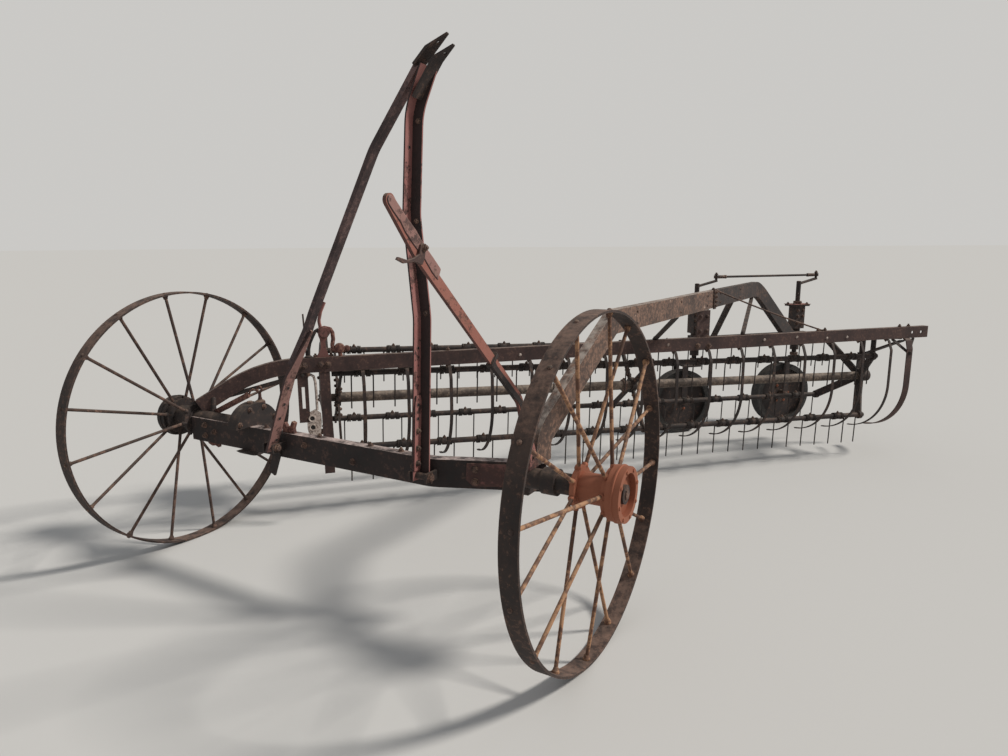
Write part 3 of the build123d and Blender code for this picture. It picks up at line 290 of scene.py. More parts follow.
def build_flake_group() -> bpy.types.NodeTree:
    """Old paint that has flaked off in ragged islands; the mask is 1 where paint is left.

    Returns:
        The node group.
    """
    g = EffectGroup.new(Effect.FLAKE, {"Scale": 5.0, "Cover": 0.5}, ("Mask", "Tone", "Height"))
    vector, scale = g.inlet["Vector"], g.inlet["Scale"]
    broad = g.noise(vector, scale, 9.0, 0.72)
    ragged = g.noise(vector, g.times(scale, 6.0), 7.0, 0.75)
    both = g.add_up(g.times(broad, 0.6), g.times(ragged, 0.4))
    edge = g.math("SUBTRACT", 0.74, g.times(g.inlet["Cover"], 0.48))
    mask = g.step(both, g.math("SUBTRACT", edge, 0.012), g.add_up(edge, 0.012))
    g.feed(g.outlet["Mask"], mask)
    g.feed(g.outlet["Tone"], g.noise(vector, g.times(scale, 2.3), 5.0, 0.6))
    g.feed(g.outlet["Height"], g.times(mask, 0.6))
    return g.tree


def build_edge_group() -> bpy.types.NodeTree:
    """A mask of rubbed edges.

    Returns:
        The node group.
    """
    g = EffectGroup.new(Effect.EDGE, {"Radius": 0.004}, ("Mask",))
    bevel = g.add("Bevel", {"Radius": g.inlet["Radius"]}, samples=4)
    worn = g.step(g.dot(bevel.outputs["Normal"], g.add("NewGeometry").outputs["Normal"]), 0.995, 0.86)
    broken = g.noise(g.inlet["Vector"], 45.0, 5.0, 0.7)
    g.feed(g.outlet["Mask"], g.times(worn, g.step(broken, 0.35, 0.6)))
    return g.tree


def build_dust_group() -> bpy.types.NodeTree:
    """Dust and dry grass bits on surfaces that face up.

    Returns:
        The node group.
    """
    g = EffectGroup.new(Effect.DUST, {"Amount": 0.5}, ("Mask",))
    facing = g.add("SeparateXYZ", {0: g.add("NewGeometry").outputs["Normal"]})
    up = g.step(facing.outputs["Z"], 0.25, 0.9)
    patch = g.step(g.noise(g.inlet["Vector"], 18.0, 7.0, 0.7), 0.34, 0.66)
    g.feed(g.outlet["Mask"], g.times(g.times(up, patch), g.inlet["Amount"], clamp=True))
    return g.tree


def build_painted_shade_group() -> bpy.types.NodeTree:
    """Painted shade: darkens faces turned towards the front (-Y), where shade falls, with a ragged edge.

    Returns:
        The node group.
    """
    g = EffectGroup.new(Effect.PAINTED_SHADE_SIDE, {"Normal": (0.0, 0.0, 0.0), "Side": (0.0, -1.0, 0.0)}, ("Mask",))
    ragged = g.times(g.noise(g.inlet["Vector"], 14.0, 5.0, 0.65), 0.3)
    facing = g.dot(g.inlet["Normal"], g.inlet["Side"])
    g.feed(g.outlet["Mask"], g.step(g.add_up(facing, ragged), 0.2, 0.6))
    return g.tree


EFFECTS: dict[Effect, bpy.types.NodeTree] = {}


def build_effects() -> None:
    """Builds each shared node group once."""
    EFFECTS[Effect.WEATHER] = build_weather_group()
    EFFECTS[Effect.FLAKE] = build_flake_group()
    EFFECTS[Effect.EDGE] = build_edge_group()
    EFFECTS[Effect.DUST] = build_dust_group()
    EFFECTS[Effect.PAINTED_SHADE_SIDE] = build_painted_shade_group()


@dataclass(frozen=True)
class Finish:
    """One surface finish: weathered iron, with paint, worn edges, painted shade on front-facing sides and dust as
    asked.
    """

    name: str
    dark: Colour
    middle: Colour
    light: Colour
    scale: float = 5.0
    spread: float = 0.5
    paint: Colour | None = None
    paint_pale: Colour | None = None
    cover: float = 0.5
    flake_scale: float = 5.0
    edge: Colour | None = None
    edge_amount: float = 0.6
    edge_radius: float = 0.004
    dust: Colour = (0.36, 0.29, 0.2)
    dust_amount: float = 0.35
    bump: float = 0.35
    bump_depth: float = 0.0015
    # Colour and strength of the painted shade on front-facing sides.
    painted_shade_colour: Colour | None = None
    painted_shade_amount: float = 0.8

    def material(self) -> bpy.types.Material:
        """The finish's material, made the first time it is asked for.

        Returns:
            The material.
        """
        found = bpy.data.materials.get(self.name)
        if found:
            return found
        made = bpy.data.materials.new(self.name)
        made.use_nodes = True
        made.node_tree.nodes.clear()
        t = NodeTree(made.node_tree)
        coord = t.add("TexCoord").outputs

        def effect(kind: Effect, **inputs: object) -> bpy.types.bpy_prop_collection:
            """Places a shared effect and gives its outputs."""
            return t.add("Group", {"Vector": coord["Object"], **inputs}, node_tree=EFFECTS[kind]).outputs

        tones = {"Dark": self.dark, "Middle": self.middle, "Light": self.light}
        weather = effect(Effect.WEATHER, Scale=self.scale, Spread=self.spread, **tones)
        colour, height = weather["Color"], weather["Height"]
        if self.paint:
            flake = effect(Effect.FLAKE, Scale=self.flake_scale, Cover=self.cover)
            coat = t.mix(flake["Tone"], self.paint, self.paint_pale)
            colour = t.mix(flake["Mask"], colour, coat)
            height = t.add_up(height, flake["Height"])
        if self.edge:
            worn = t.times(effect(Effect.EDGE, Radius=self.edge_radius)["Mask"], self.edge_amount)
            colour = t.mix(worn, colour, self.edge)
        # Painted shade: darkens the sides that face the front, by the object's normal.
        if self.painted_shade_colour:
            painted_shade_mask = t.times(effect(Effect.PAINTED_SHADE_SIDE, Normal=coord["Normal"])["Mask"], self.painted_shade_amount)
            colour = t.mix(painted_shade_mask, colour, self.painted_shade_colour)
        if self.dust_amount > 0:
            colour = t.mix(effect(Effect.DUST, Amount=self.dust_amount)["Mask"], colour, self.dust)
        bump = t.add("Bump", {"Strength": self.bump, "Distance": self.bump_depth, "Height": height})
        inputs = {"Base Color": colour, "Roughness": weather["Roughness"], "Normal": bump.outputs["Normal"]}
        shader = t.add("BsdfPrincipled", inputs)
        t.add("OutputMaterial", {0: shader.outputs[0]})
        return made


DARK_IRON = Finish(
    "dark_weathered_iron", (0.010, 0.007, 0.007), (0.028, 0.018, 0.016), (0.085, 0.050, 0.037),
    scale=4.0, spread=0.3, edge=(0.14, 0.09, 0.065), edge_amount=0.45, dust=(0.23, 0.165, 0.12), dust_amount=0.3,
)
CHANNEL_IRON = Finish(
    "channel_iron", (0.008, 0.005, 0.005), (0.022, 0.013, 0.012), (0.070, 0.040, 0.032),
    scale=4.0, spread=0.3, edge=(0.15, 0.09, 0.075), edge_amount=0.45, dust=(0.60, 0.48, 0.44), dust_amount=0.9,
)
BEAM_IRON = Finish(
    "brown_weathered_iron", (0.024, 0.012, 0.011), (0.055, 0.028, 0.024), (0.11, 0.060, 0.046),
    scale=7.0, spread=0.25, edge=(0.26, 0.165, 0.125), edge_amount=0.5, dust=(0.36, 0.27, 0.21), dust_amount=0.5,
)
RIM_IRON = Finish(
    "rim_iron", (0.014, 0.009, 0.008), (0.036, 0.021, 0.017), (0.105, 0.060, 0.044),
    scale=6.0, spread=0.35, edge=(0.22, 0.135, 0.10), edge_amount=0.5, dust=(0.34, 0.215, 0.16), dust_amount=0.45,
    bump=0.5,
)
# One rusty spoke iron in two copies: the left wheel's spokes carry painted light, the right wheel's painted shade.
SPOKE_LIT = Finish(
    "spoke_rust_painted_light", (0.060, 0.027, 0.018), (0.155, 0.072, 0.042), (0.38, 0.205, 0.110),
    scale=3.5, spread=0.6, dust_amount=0.2,
)
SPOKE_SHADED = Finish(
    "spoke_iron_painted_shade", (0.028, 0.016, 0.013), (0.062, 0.035, 0.027), (0.15, 0.085, 0.062),
    scale=3.5, spread=0.45, dust_amount=0.2,
)
HUB_RUST = Finish(
    "hub_rust", (0.018, 0.007, 0.006), (0.060, 0.017, 0.013), (0.18, 0.056, 0.036),
    scale=9.0, spread=0.35, edge=(0.22, 0.09, 0.06), edge_amount=0.35, bump=0.5,
)
# LEVER_RED, FADED_RED, PINK_BARS and LEFT_BAR_RED carry a painted shade colour for their front-facing sides.
LEVER_RED = Finish(
    "lever_red_paint", (0.042, 0.019, 0.016), (0.105, 0.043, 0.032), (0.21, 0.095, 0.066),
    scale=6.0, paint=(0.235, 0.072, 0.050), paint_pale=(0.29, 0.125, 0.095), cover=0.60, flake_scale=5.0,
    edge=(0.13, 0.065, 0.05), edge_amount=0.5, painted_shade_colour=(0.060, 0.025, 0.022), painted_shade_amount=0.8,
)
FADED_RED = Finish(
    "faded_red_paint", (0.038, 0.018, 0.016), (0.095, 0.042, 0.034), (0.20, 0.095, 0.07),
    scale=6.0, paint=(0.26, 0.085, 0.072), paint_pale=(0.31, 0.15, 0.13), cover=0.50, flake_scale=6.0,
    edge=(0.16, 0.085, 0.07), edge_amount=0.5, painted_shade_colour=(0.060, 0.026, 0.023), painted_shade_amount=0.6,
)
PINK_BARS = Finish(
    "rosy_worn_paint", (0.050, 0.027, 0.024), (0.125, 0.062, 0.053), (0.23, 0.13, 0.105),
    scale=6.0, spread=0.6, paint=(0.215, 0.098, 0.083), paint_pale=(0.28, 0.16, 0.14), cover=0.55, flake_scale=5.0,
    edge=(0.11, 0.062, 0.052), edge_amount=0.5, painted_shade_colour=(0.032, 0.018, 0.018), painted_shade_amount=0.9,
)
LEFT_BAR_RED = Finish(
    "left_bar_red_paint", (0.045, 0.020, 0.018), (0.115, 0.045, 0.038), (0.22, 0.11, 0.09),
    scale=6.0, spread=0.5, paint=(0.25, 0.080, 0.070), paint_pale=(0.30, 0.145, 0.13), cover=0.58, flake_scale=4.0,
    edge=(0.17, 0.10, 0.085), edge_amount=0.5, painted_shade_colour=(0.014, 0.008, 0.008), painted_shade_amount=0.96,
)
BAR_BROWN = Finish(
    "bar_brown_iron", (0.024, 0.015, 0.016), (0.060, 0.037, 0.037), (0.125, 0.076, 0.069),
    scale=6.0, spread=0.35, paint=(0.115, 0.062, 0.058), paint_pale=(0.15, 0.092, 0.087), cover=0.42,
    flake_scale=4.0, edge=(0.18, 0.11, 0.09), edge_amount=0.5,
)
ARCH_COAT = Finish(
    "flaking_pale_coat", (0.040, 0.024, 0.019), (0.092, 0.056, 0.042), (0.20, 0.115, 0.080),
    scale=6.0, paint=(0.36, 0.165, 0.085), paint_pale=(0.56, 0.50, 0.45), cover=0.27, flake_scale=12.0,
    edge=(0.54, 0.45, 0.38), edge_amount=0.65, dust=(0.52, 0.45, 0.39), dust_amount=0.7, bump=0.6,
)
TAN_TUBE = Finish(
    "tan_weathered_tube", (0.040, 0.028, 0.023), (0.098, 0.072, 0.057), (0.20, 0.150, 0.115),
    scale=5.0, spread=0.5, dust=(0.36, 0.29, 0.23), dust_amount=0.6,
)
TINE_STEEL = Finish(
    "tine_steel", (0.012, 0.009, 0.009), (0.028, 0.020, 0.018), (0.080, 0.050, 0.038),
    scale=14.0, spread=0.3, dust_amount=0.12,
)
TYRE = Finish(
    "aged_rubber", (0.008, 0.0075, 0.0075), (0.017, 0.0155, 0.015), (0.042, 0.038, 0.034),
    scale=7.0, spread=0.35, dust=(0.17, 0.135, 0.10), dust_amount=0.35, bump=0.25,
)
BOLT_IRON = Finish(
    "bolt_iron", (0.028, 0.016, 0.014), (0.080, 0.045, 0.034), (0.20, 0.115, 0.082),
    scale=20.0, spread=0.5, dust_amount=0.25, bump=0.3, bump_depth=0.0006,
)
CASTING_RED = Finish(
    "red_casting", (0.040, 0.015, 0.012), (0.105, 0.036, 0.027), (0.21, 0.10, 0.072),
    scale=8.0, spread=0.6, edge=(0.28, 0.16, 0.12), edge_amount=0.5, bump=0.5,
)
PALE_BARE = Finish(
    "pale_worn_iron", (0.12, 0.085, 0.070), (0.28, 0.21, 0.175), (0.50, 0.42, 0.37),
    scale=10.0, spread=0.8, dust_amount=0.3,
)
# Painted shade for the insides of holes.
HOLE_DARK = Finish(
    "hole_shadow", (0.004, 0.003, 0.003), (0.010, 0.008, 0.008), (0.03, 0.02, 0.017),
    scale=20.0, spread=0.2, dust_amount=0.0,
)

NODE_FINISHES: dict[Finish, tuple[str, ...]] = {
    RIM_IRON: ("rim_",),
    HUB_RUST: ("hub_left",),
    SPOKE_LIT: ("spokes_left",),
    SPOKE_SHADED: ("spokes_right",),
    CHANNEL_IRON: ("front_channel",),
    BEAM_IRON: ("main_beam", "end_stripper", "arch_post", "slotted_strap", "reel_hanger_front"),
    TAN_TUBE: ("reel_tube",),
    TINE_STEEL: ("tines_",),
    DARK_IRON: ("arch_splice", "arch_rear", "arch_brace"),
    ARCH_COAT: ("arch",),
    TYRE: ("caster_tyre",),
    LEFT_BAR_RED: ("drawbar_bar_left",),
    PINK_BARS: ("drawbar_strap_right",),
    BAR_BROWN: ("drawbar_bar_right",),
    LEVER_RED: ("lift_lever",),
    CASTING_RED: ("shift_lever",),
    FADED_RED: ("beam_bracket",),
}


def dress_nodes() -> None:
    """Gives every carried-over solid its finish, dark iron where none is named."""
    for name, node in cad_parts.items():
        finish = next((finish for finish, starts in NODE_FINISHES.items() if name.startswith(starts)), DARK_IRON)
        node.data.materials.clear()
        node.data.materials.append(finish.material())
        LOG.info("dressed %s with %s", name, finish.name)


# Mesh tools

def frame_on(axis: Vector) -> tuple[Vector, Vector]:
    """Two unit directions square to an axis and to each other.

    Args:
        axis: The axis.

    Returns:
        The two directions.
    """
    axis = axis.normalized()
    helper = UP if abs(axis.z) < 0.9 else LEFT
    first = helper.cross(axis).normalized()
    return first, axis.cross(first)


@dataclass
class MeshPiece:
    """Collects mesh shapes into one named object on one body."""

    name: str
    finish: Finish = BOLT_IRON
    body: Body = Body.FRAME
    bm: bmesh.types.BMesh = field(default_factory=bmesh.new)

    def ring(self, middle: Vector, u: Vector, v: Vector, radius: float, sides: int) -> list[bmesh.types.BMVert]:
        """Adds the corners of a ring in the plane of u and v; a radius of 0 gives one corner."""
        turns = [2 * math.pi * k / sides for k in range(sides)] if radius > 0 else [0.0]
        return [self.bm.verts.new(middle + (u * math.cos(a) + v * math.sin(a)) * radius) for a in turns]

    def skin(self, rings: list[list[bmesh.types.BMVert]]) -> None:
        """Joins rings of corners with faces and closes both ends.

        Args:
            rings: The rings in order, each with the same number of corners or with one.
        """
        for low, high in zip(rings, rings[1:]):
            sides = max(len(low), len(high))
            for k in range(sides):
                n = (k + 1) % sides
                corners = (low[k % len(low)], low[n % len(low)], high[n % len(high)], high[k % len(high)])
                self.bm.faces.new(list(dict.fromkeys(corners)))
        for ring in (rings[0], rings[-1]):
            if len(ring) > 2:
                self.bm.faces.new(ring)

    def turned(self, centre: Vector, axis: Vector, rows: Rows, sides: int = 16) -> None:
        """Adds a turned shape.

        Args:
            centre: Where the axis starts.
            axis: Direction of the axis.
            rows: Radius and distance along the axis; a radius of 0 closes the end.
            sides: How many sides the turning has.
        """
        axis = axis.normalized()
        u, v = frame_on(axis)
        self.skin([self.ring(centre + axis * along, u, v, radius, sides) for radius, along in rows])

    def hex_head(self, centre: Vector, axis: Vector, across: float, height: float, stem: float = 0.0) -> None:
        """Adds a chamfered six-sided head on a washer, with a threaded end if stem is over 0.

        Args:
            centre: Where the washer meets the surface.
            axis: Outward direction.
            across: Width across the flats.
            height: Height of the head.
            stem: Length of the bolt's end past the head.
        """
        radius, washer, thin = across / math.sqrt(3), across * 0.78, across * 0.3
        self.turned(centre, axis, ((washer, 0.0), (washer, 0.0014), (washer * 0.94, 0.0022)), 14)
        top = 0.002 + height
        self.turned(centre, axis, ((radius, 0.002), (radius, 0.002 + height * 0.78), (radius * 0.84, top)), 6)
        if stem > 0:
            rows = tuple((thin * (1.0 if k % 2 else 0.86), top + stem * k / 8) for k in range(9))
            self.turned(centre, axis, rows, 8)

    def heads(self, spots: list[Vector], axis: Vector, size: Size) -> None:
        """Adds a six-sided head at each spot; its size is across the flats, height and stem."""
        for spot in spots:
            self.hex_head(spot, axis, *size)

    def rivet(self, centre: Vector, axis: Vector, radius: float = 0.009) -> None:
        """Adds a domed rivet head."""
        dome = ((1.0, 0.0), (0.92, 0.3), (0.66, 0.55), (0.3, 0.68), (0.0, 0.72))
        self.turned(centre, axis, tuple((radius * r, radius * h) for r, h in dome), 12)

    def hole(self, dark: "MeshPiece", face: Vector, out: Vector, radius: float = 0.0075) -> None:
        """Adds one bolt hole: a rolled rim round a dark disc of painted shade where the bore is.

        Args:
            dark: Piece for the painted shade disc in the bore.
            face: Middle of the hole on the face.
            out: Outward direction.
            radius: Radius of the bore.
        """
        rim = ((radius + 0.004, 0.0), (radius + 0.003, 0.0012), (radius + 0.0008, 0.0014), (radius, 0.0005))
        self.turned(face, out, rim, 18)
        dark.turned(face, out, ((radius * 0.98, 0.0006), (radius * 0.98, 0.0009)), 18)

    def tube(self, points: list[Vector], radius: float, sides: int = 8, taper: float = 1.0) -> None:
        """Adds a round bar along points.

        Args:
            points: The bar's centre line.
            radius: Its radius.
            sides: How many sides it has.
            taper: Share of the radius left at its end.
        """
        last = len(points) - 1
        before = (points[1] - points[0]).normalized()
        u, v = frame_on(before)
        rings = []
        for k, point in enumerate(points):
            ahead = points[min(k + 1, last)] - points[max(k - 1, 0)]
            ahead = ahead.normalized() if ahead.length > 0 else before
            turn = before.rotation_difference(ahead)
            u, v, before = turn @ u, turn @ v, ahead
            rings.append(self.ring(point, u, v, radius * (1 + (taper - 1) * k / last), sides))
        self.skin(rings)

    def plate(self, outline: list[Vector], normal: Vector, thickness: float) -> None:
        """Adds a flat plate.

        Args:
            outline: Its corners in order, on its middle plane.
            normal: Direction of its thickness.
            thickness: Its thickness.
        """
        half = normal.normalized() * thickness / 2
        self.skin([[self.bm.verts.new(point + side) for point in outline] for side in (-half, half)])

    def bar(self, a: Vector, b: Vector, wide: Vector, width: float, thickness: float) -> None:
        """Adds a flat bar from a to b with rounded ends.

        Args:
            a: One end.
            b: The other end.
            wide: Direction of its width.
            width: Its width.
            thickness: Its thickness.
        """
        along = (b - a).normalized()
        wide = (wide - along * wide.dot(along)).normalized()
        outline = []
        for end, sign in ((b, 1), (a, -1)):
            for k in range(7):
                angle = math.pi * (k / 6 - 0.5)
                bulge = along * math.cos(angle) * width * 0.3 - wide * math.sin(angle) * width / 2
                outline.append(end + bulge * sign)
        self.plate(outline, along.cross(wide), thickness)

    def finish_up(self, bevel: float = 0.0) -> bpy.types.Object:
        """Turns what was collected into an object that rides its body.

        Args:
            bevel: Width of a bevel on sharp edges, or 0 for none.

        Returns:
            The object.
        """
        bmesh.ops.recalc_face_normals(self.bm, faces=self.bm.faces)
        mesh = bpy.data.meshes.new(self.name)
        self.bm.to_mesh(mesh)
        self.bm.free()
        made = bpy.data.objects.new(self.name, mesh)
        bpy.context.scene.collection.objects.link(made)
        mesh.materials.append(self.finish.material())
        for face in mesh.polygons:
            face.use_smooth = True
        mesh.set_sharp_from_angle(angle=SHARP_ANGLE)
        if bevel > 0:
            modifier = made.modifiers.new("soft_edges", "BEVEL")
            modifier.width = bevel
            modifier.segments = 2
            modifier.limit_method = "ANGLE"
        body = self.body.value
        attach(made, body)
        LOG.info("built %s: %d faces, on %s", self.name, len(mesh.polygons), body)
        return made


# Sub-assemblies

@dataclass
class RoadWheel:
    """Small parts of one main wheel: spoke ends, tread rivets, hub bolts and axle nut."""

    side: int
    tag: str
    turn: float
    spoke_finish: Finish
    hub_finish: Finish
    body: Body
    cap_bolts_sunk: float
    radius: float = 0.66
    rim_thickness: float = 0.009
    spoke_count: int = 16
    spread: float = 0.062
    head_radius: float = 0.08
    tip_share: float = 0.12
    cap_radius: float = 0.104
    cap_bolt_radius: float = 0.092
    cap_face: float = 0.126
    flange_radii: tuple[float, float] = (0.082, 0.092)
    flange_half: float = 0.009
    nut_end: float = 0.117
    worn_flush: float = -0.985
    rivet_sunk: float = 0.0006
    tread_rivet: float = 0.0095
    flange_rivet: float = 0.0085
    cap_bolt: Size = (0.013, 0.004)
    axle_nut: Size = (0.034, 0.006)

    def spot(self, radial: float, angle: float, out: float) -> Vector:
        """A point by its distance from the axle, its angle and its distance outboard."""
        x = self.side * (LAYOUT.half_track + out)
        return LAYOUT.at(x, radial * math.cos(angle), LAYOUT.axle_height + radial * math.sin(angle))

    def build_rim_parts(self) -> None:
        """Builds the spoke collars inside the rim and the rivet heads on its tread."""
        collars = MeshPiece("spoke_collars_" + self.tag, self.spoke_finish, self.body)
        heads = MeshPiece("tread_heads_" + self.tag, BOLT_IRON, self.body)
        rows = ((0.0145, 0.0005), (0.0145, -0.006), (0.0115, -0.010), (0.0105, -0.017), (0.0085, -0.020))
        for angle, sign, radial in self.spokes():
            out = sign * self.spread * self.tip_share
            collars.turned(self.spot(self.radius - self.rim_thickness, angle, out), radial, rows, 14)
            if radial.z > self.worn_flush:  # no head stands proud under the wheel
                heads.rivet(self.spot(self.radius - self.rivet_sunk, angle, out), radial, self.tread_rivet)
        collars.finish_up()
        heads.finish_up()

    def spokes(self) -> list[tuple[float, int, Vector]]:
        """Each spoke's angle, its side (1 is outboard) and its direction.

        Returns:
            The spokes in order.
        """
        made = []
        for index in range(self.spoke_count):
            angle = math.radians(360.0 / self.spoke_count * (index + 0.5) + self.turn)
            made.append((angle, 1 if index % 2 else -1, Vector((0.0, math.cos(angle), math.sin(angle)))))
        return made

    def build_hub_parts(self) -> None:
        """Builds the spoke heads on the flanges, the cap's lip and bolts, and the axle's nut."""
        outward = LEFT * self.side
        piece = MeshPiece("hub_fittings_" + self.tag, self.hub_finish, self.body)
        for angle, sign, radial in self.spokes():
            offset = sign * self.spread
            head = self.spot(self.head_radius, angle, offset + sign * self.flange_half)
            piece.rivet(head, outward * sign, self.flange_rivet)
            root = self.spot(self.flange_radii[sign > 0] - 0.002, angle, offset)
            piece.turned(root, radial, ((0.0125, 0.0), (0.0125, 0.008), (0.0095, 0.013)), 12)
        lip = self.cap_radius
        rows = ((lip + 0.0005, 0.094), (lip + 0.004, 0.096), (lip + 0.004, 0.101), (lip + 0.0005, 0.103))
        piece.turned(self.spot(0.0, 0.0, 0.0), outward, rows, 48)
        for k in range(8):
            spot = self.spot(self.cap_bolt_radius, math.pi / 4 * (k + 0.3), self.cap_face - self.cap_bolts_sunk)
            piece.hex_head(spot, outward, *self.cap_bolt)
        piece.finish_up()
        nut = MeshPiece("axle_nut_" + self.tag)
        nut.hex_head(self.spot(0.0, 0.0, self.nut_end), outward, *self.axle_nut)
        nut.finish_up()

    def build(self) -> None:
        """Builds every small part of the wheel."""
        self.build_rim_parts()
        self.build_hub_parts()


@dataclass
class RakeBeam:
    """Bolts, straps and clips along the slanted beam, and those of its strippers."""

    first_s: float = 0.823
    pitch: float = 0.245
    count: int = 16
    end_s: float = 4.664
    tab_under: float = 0.8677
    face_p: float = 0.004
    bracket_p: float = -0.017
    loop_s: float = 4.648
    post_s: float = 2.99
    small_bolt: Size = (0.015, 0.007, 0.004)
    strap_bolt: Size = (0.019, 0.009, 0.004)
    face_bolt: Size = (0.024, 0.011, 0.006)
    top_bolt: Size = (0.021, 0.010, 0.008)
    loop_bolt: Size = (0.019, 0.009, 0.003)

    def build_stripper_bolts(self) -> None:
        """Builds the bolts that hold each stripper's tab under the beam."""
        piece = MeshPiece("stripper_bolts")
        spots = [LAYOUT.beam(self.first_s + self.pitch * k, -0.021, self.tab_under) for k in range(self.count)]
        spots += [LAYOUT.beam(self.end_s + ds, -0.001, self.tab_under) for ds in (-0.014, 0.014)]
        piece.heads(spots, -UP, self.small_bolt)
        piece.finish_up()

    def build_face_bolts(self) -> None:
        """Builds the bolts and rivets through the beam's front face."""
        bolts = MeshPiece("beam_face_bolts")
        rivets = MeshPiece("beam_face_rivets", PALE_BARE)
        rows = ((2.945, 0.903), (3.027, 0.899), (0.60, 0.915), (0.64, 0.915), (0.49, 0.915), (0.514, 0.915))
        bolts.heads(LAYOUT.beam_line(self.face_p, rows), LAYOUT.ahead, self.face_bolt)
        rows = (
            (1.18, 0.925), (1.74, 0.91), (2.30, 0.92), (2.727, 0.92), (3.45, 0.92), (3.709, 0.926), (3.959, 0.908),
            (4.129, 0.907),
        )
        for spot in LAYOUT.beam_line(self.face_p, rows):
            rivets.rivet(spot, LAYOUT.ahead)
        bolts.finish_up()
        rivets.finish_up()

    def build_end_brace(self) -> None:
        """Builds the small V of straps that stiffens the last stripper."""
        piece = MeshPiece("end_stripper_brace", DARK_IRON)
        foot = LAYOUT.beam(self.end_s, 0.0285, 0.772)
        for s in (4.545, 4.735):
            piece.bar(LAYOUT.beam(s, -0.010, LAYOUT.beam_foot - 0.004), foot, LAYOUT.along, 0.020, 0.006)
        piece.heads([foot + LAYOUT.ahead * 0.012], LAYOUT.ahead, self.strap_bolt)
        piece.finish_up()

    def build_rear_hanger_loop(self) -> None:
        """Builds the loop of straps that carries the reel's rear hanger to the beam."""
        piece = MeshPiece("rear_hanger_loop", DARK_IRON)
        straps = (
            (-0.372, 0.69, -0.372, 0.865, LAYOUT.ahead, 0.046, 0.012),
            (-0.385, 0.850, -0.035, 0.885, UP, 0.044, 0.011),
            (-0.270, 0.735, -0.270, 0.862, LAYOUT.ahead, 0.040, 0.012),
        )
        for p, z, end_p, end_z, wide, width, thickness in straps:
            ends = LAYOUT.beam(self.loop_s, p, z), LAYOUT.beam(self.loop_s, end_p, end_z)
            piece.bar(*ends, wide, width, thickness)
        places = ((-0.372, 0.705), (-0.372, 0.845), (-0.270, 0.750), (-0.270, 0.850))
        piece.heads([LAYOUT.beam(self.loop_s - 0.006, p, z) for p, z in places], -LAYOUT.along, self.loop_bolt)
        piece.finish_up(0.001)

    def build_bracket_arm(self) -> None:
        """Builds the arm, knobs, latch leg and thin rod of the bracket above the hanger."""
        arm = MeshPiece("beam_bracket_arm", CASTING_RED)
        p = self.bracket_p
        bends = (
            (0.645, 1.108), (0.662, 1.104), (0.672, 1.086), (0.674, 1.050), (0.668, 1.016), (0.669, 0.994),
            (0.684, 0.985), (0.702, 0.992),
        )
        tubes = (
            (bends, 0.0115, 10),
            (((0.70, 0.985), (0.723, 0.982), (0.748, 0.990)), 0.008, 8),
            (((0.705, 0.985), (0.708, 0.968), (0.710, 0.955)), 0.012, 10),
        )
        for rows, radius, sides in tubes:
            arm.tube(LAYOUT.beam_line(p, rows), radius, sides)
        knob = ((0.016, 0.0), (0.026, 0.006), (0.029, 0.018), (0.026, 0.030), (0.015, 0.036))
        arm.turned(LAYOUT.beam(0.705, p - 0.018, 0.999), LAYOUT.ahead, knob, 18)
        knob = ((0.010, 0.0), (0.017, 0.005), (0.018, 0.014), (0.015, 0.022), (0.008, 0.025))
        arm.turned(LAYOUT.beam(0.745, p - 0.012, 0.996), LAYOUT.ahead, knob, 14)
        arm.finish_up()
        leg = MeshPiece("beam_bracket_leg", DARK_IRON)
        rows = ((0.600, 1.106), (0.582, 1.096), (0.566, 1.066), (0.551, 1.034), (0.543, 1.000), (0.541, 0.955))
        leg.tube(LAYOUT.beam_line(p, rows), 0.009)
        leg.tube(LAYOUT.beam_line(p, ((0.530, 0.955), (0.527, 1.07), (0.523, 1.191))), 0.0045)
        leg.turned(LAYOUT.beam(0.541, p, 0.955), UP, ((0.020, 0.0), (0.020, 0.006), (0.012, 0.012)), 14)
        leg.turned(LAYOUT.beam(0.530, p, 0.955), UP, ((0.012, 0.0), (0.012, 0.006)), 6)
        leg.finish_up()

    def build_top_bolts(self) -> None:
        """Builds the bolts on the beam's top for the brackets, the post and the hangers."""
        piece = MeshPiece("beam_top_bolts")
        places = (0.502, 0.576, 0.66, 1.31, 2.03, 2.955, 3.025, 3.9, 4.61, 4.69)
        piece.heads([LAYOUT.beam(s, -0.019, LAYOUT.beam_top) for s in places], UP, self.top_bolt)
        piece.finish_up()

    def build_post_feet(self) -> None:
        """Builds the clip angles that hold the arch post to the beam and the arch."""
        piece = MeshPiece("post_clips", BEAM_IRON)
        for z, sign in ((LAYOUT.beam_top + 0.004, 1), (LAYOUT.arch_z - 0.0615, -1)):
            foot = LAYOUT.beam(self.post_s, -0.017, z)

            def spot(s: float, p: float, rise: float) -> Vector:
                """A point from the clip's foot."""
                return foot + LAYOUT.along * s + LAYOUT.ahead * p + UP * sign * rise

            if sign > 0:
                flat = ((-0.045, 0.007), (0.045, 0.007), (0.045, -0.036), (-0.045, -0.036))
                piece.plate([spot(s, p, 0.0) for s, p in flat], UP, 0.006)
            upright = ((-0.045, 0.0), (0.045, 0.0), (0.045, 0.06), (-0.045, 0.06))
            piece.plate([spot(s, -0.0095, rise) for s, rise in upright], LAYOUT.ahead, 0.006)
            piece.heads([spot(s, 0.0061, 0.036) for s in (-0.024, 0.024)], LAYOUT.ahead, self.strap_bolt)
        piece.finish_up(0.001)

    def build(self) -> None:
        """Builds every small part on the beam."""
        self.build_stripper_bolts()
        self.build_face_bolts()
        self.build_end_brace()
        self.build_rear_hanger_loop()
        self.build_bracket_arm()
        self.build_top_bolts()
        self.build_post_feet()


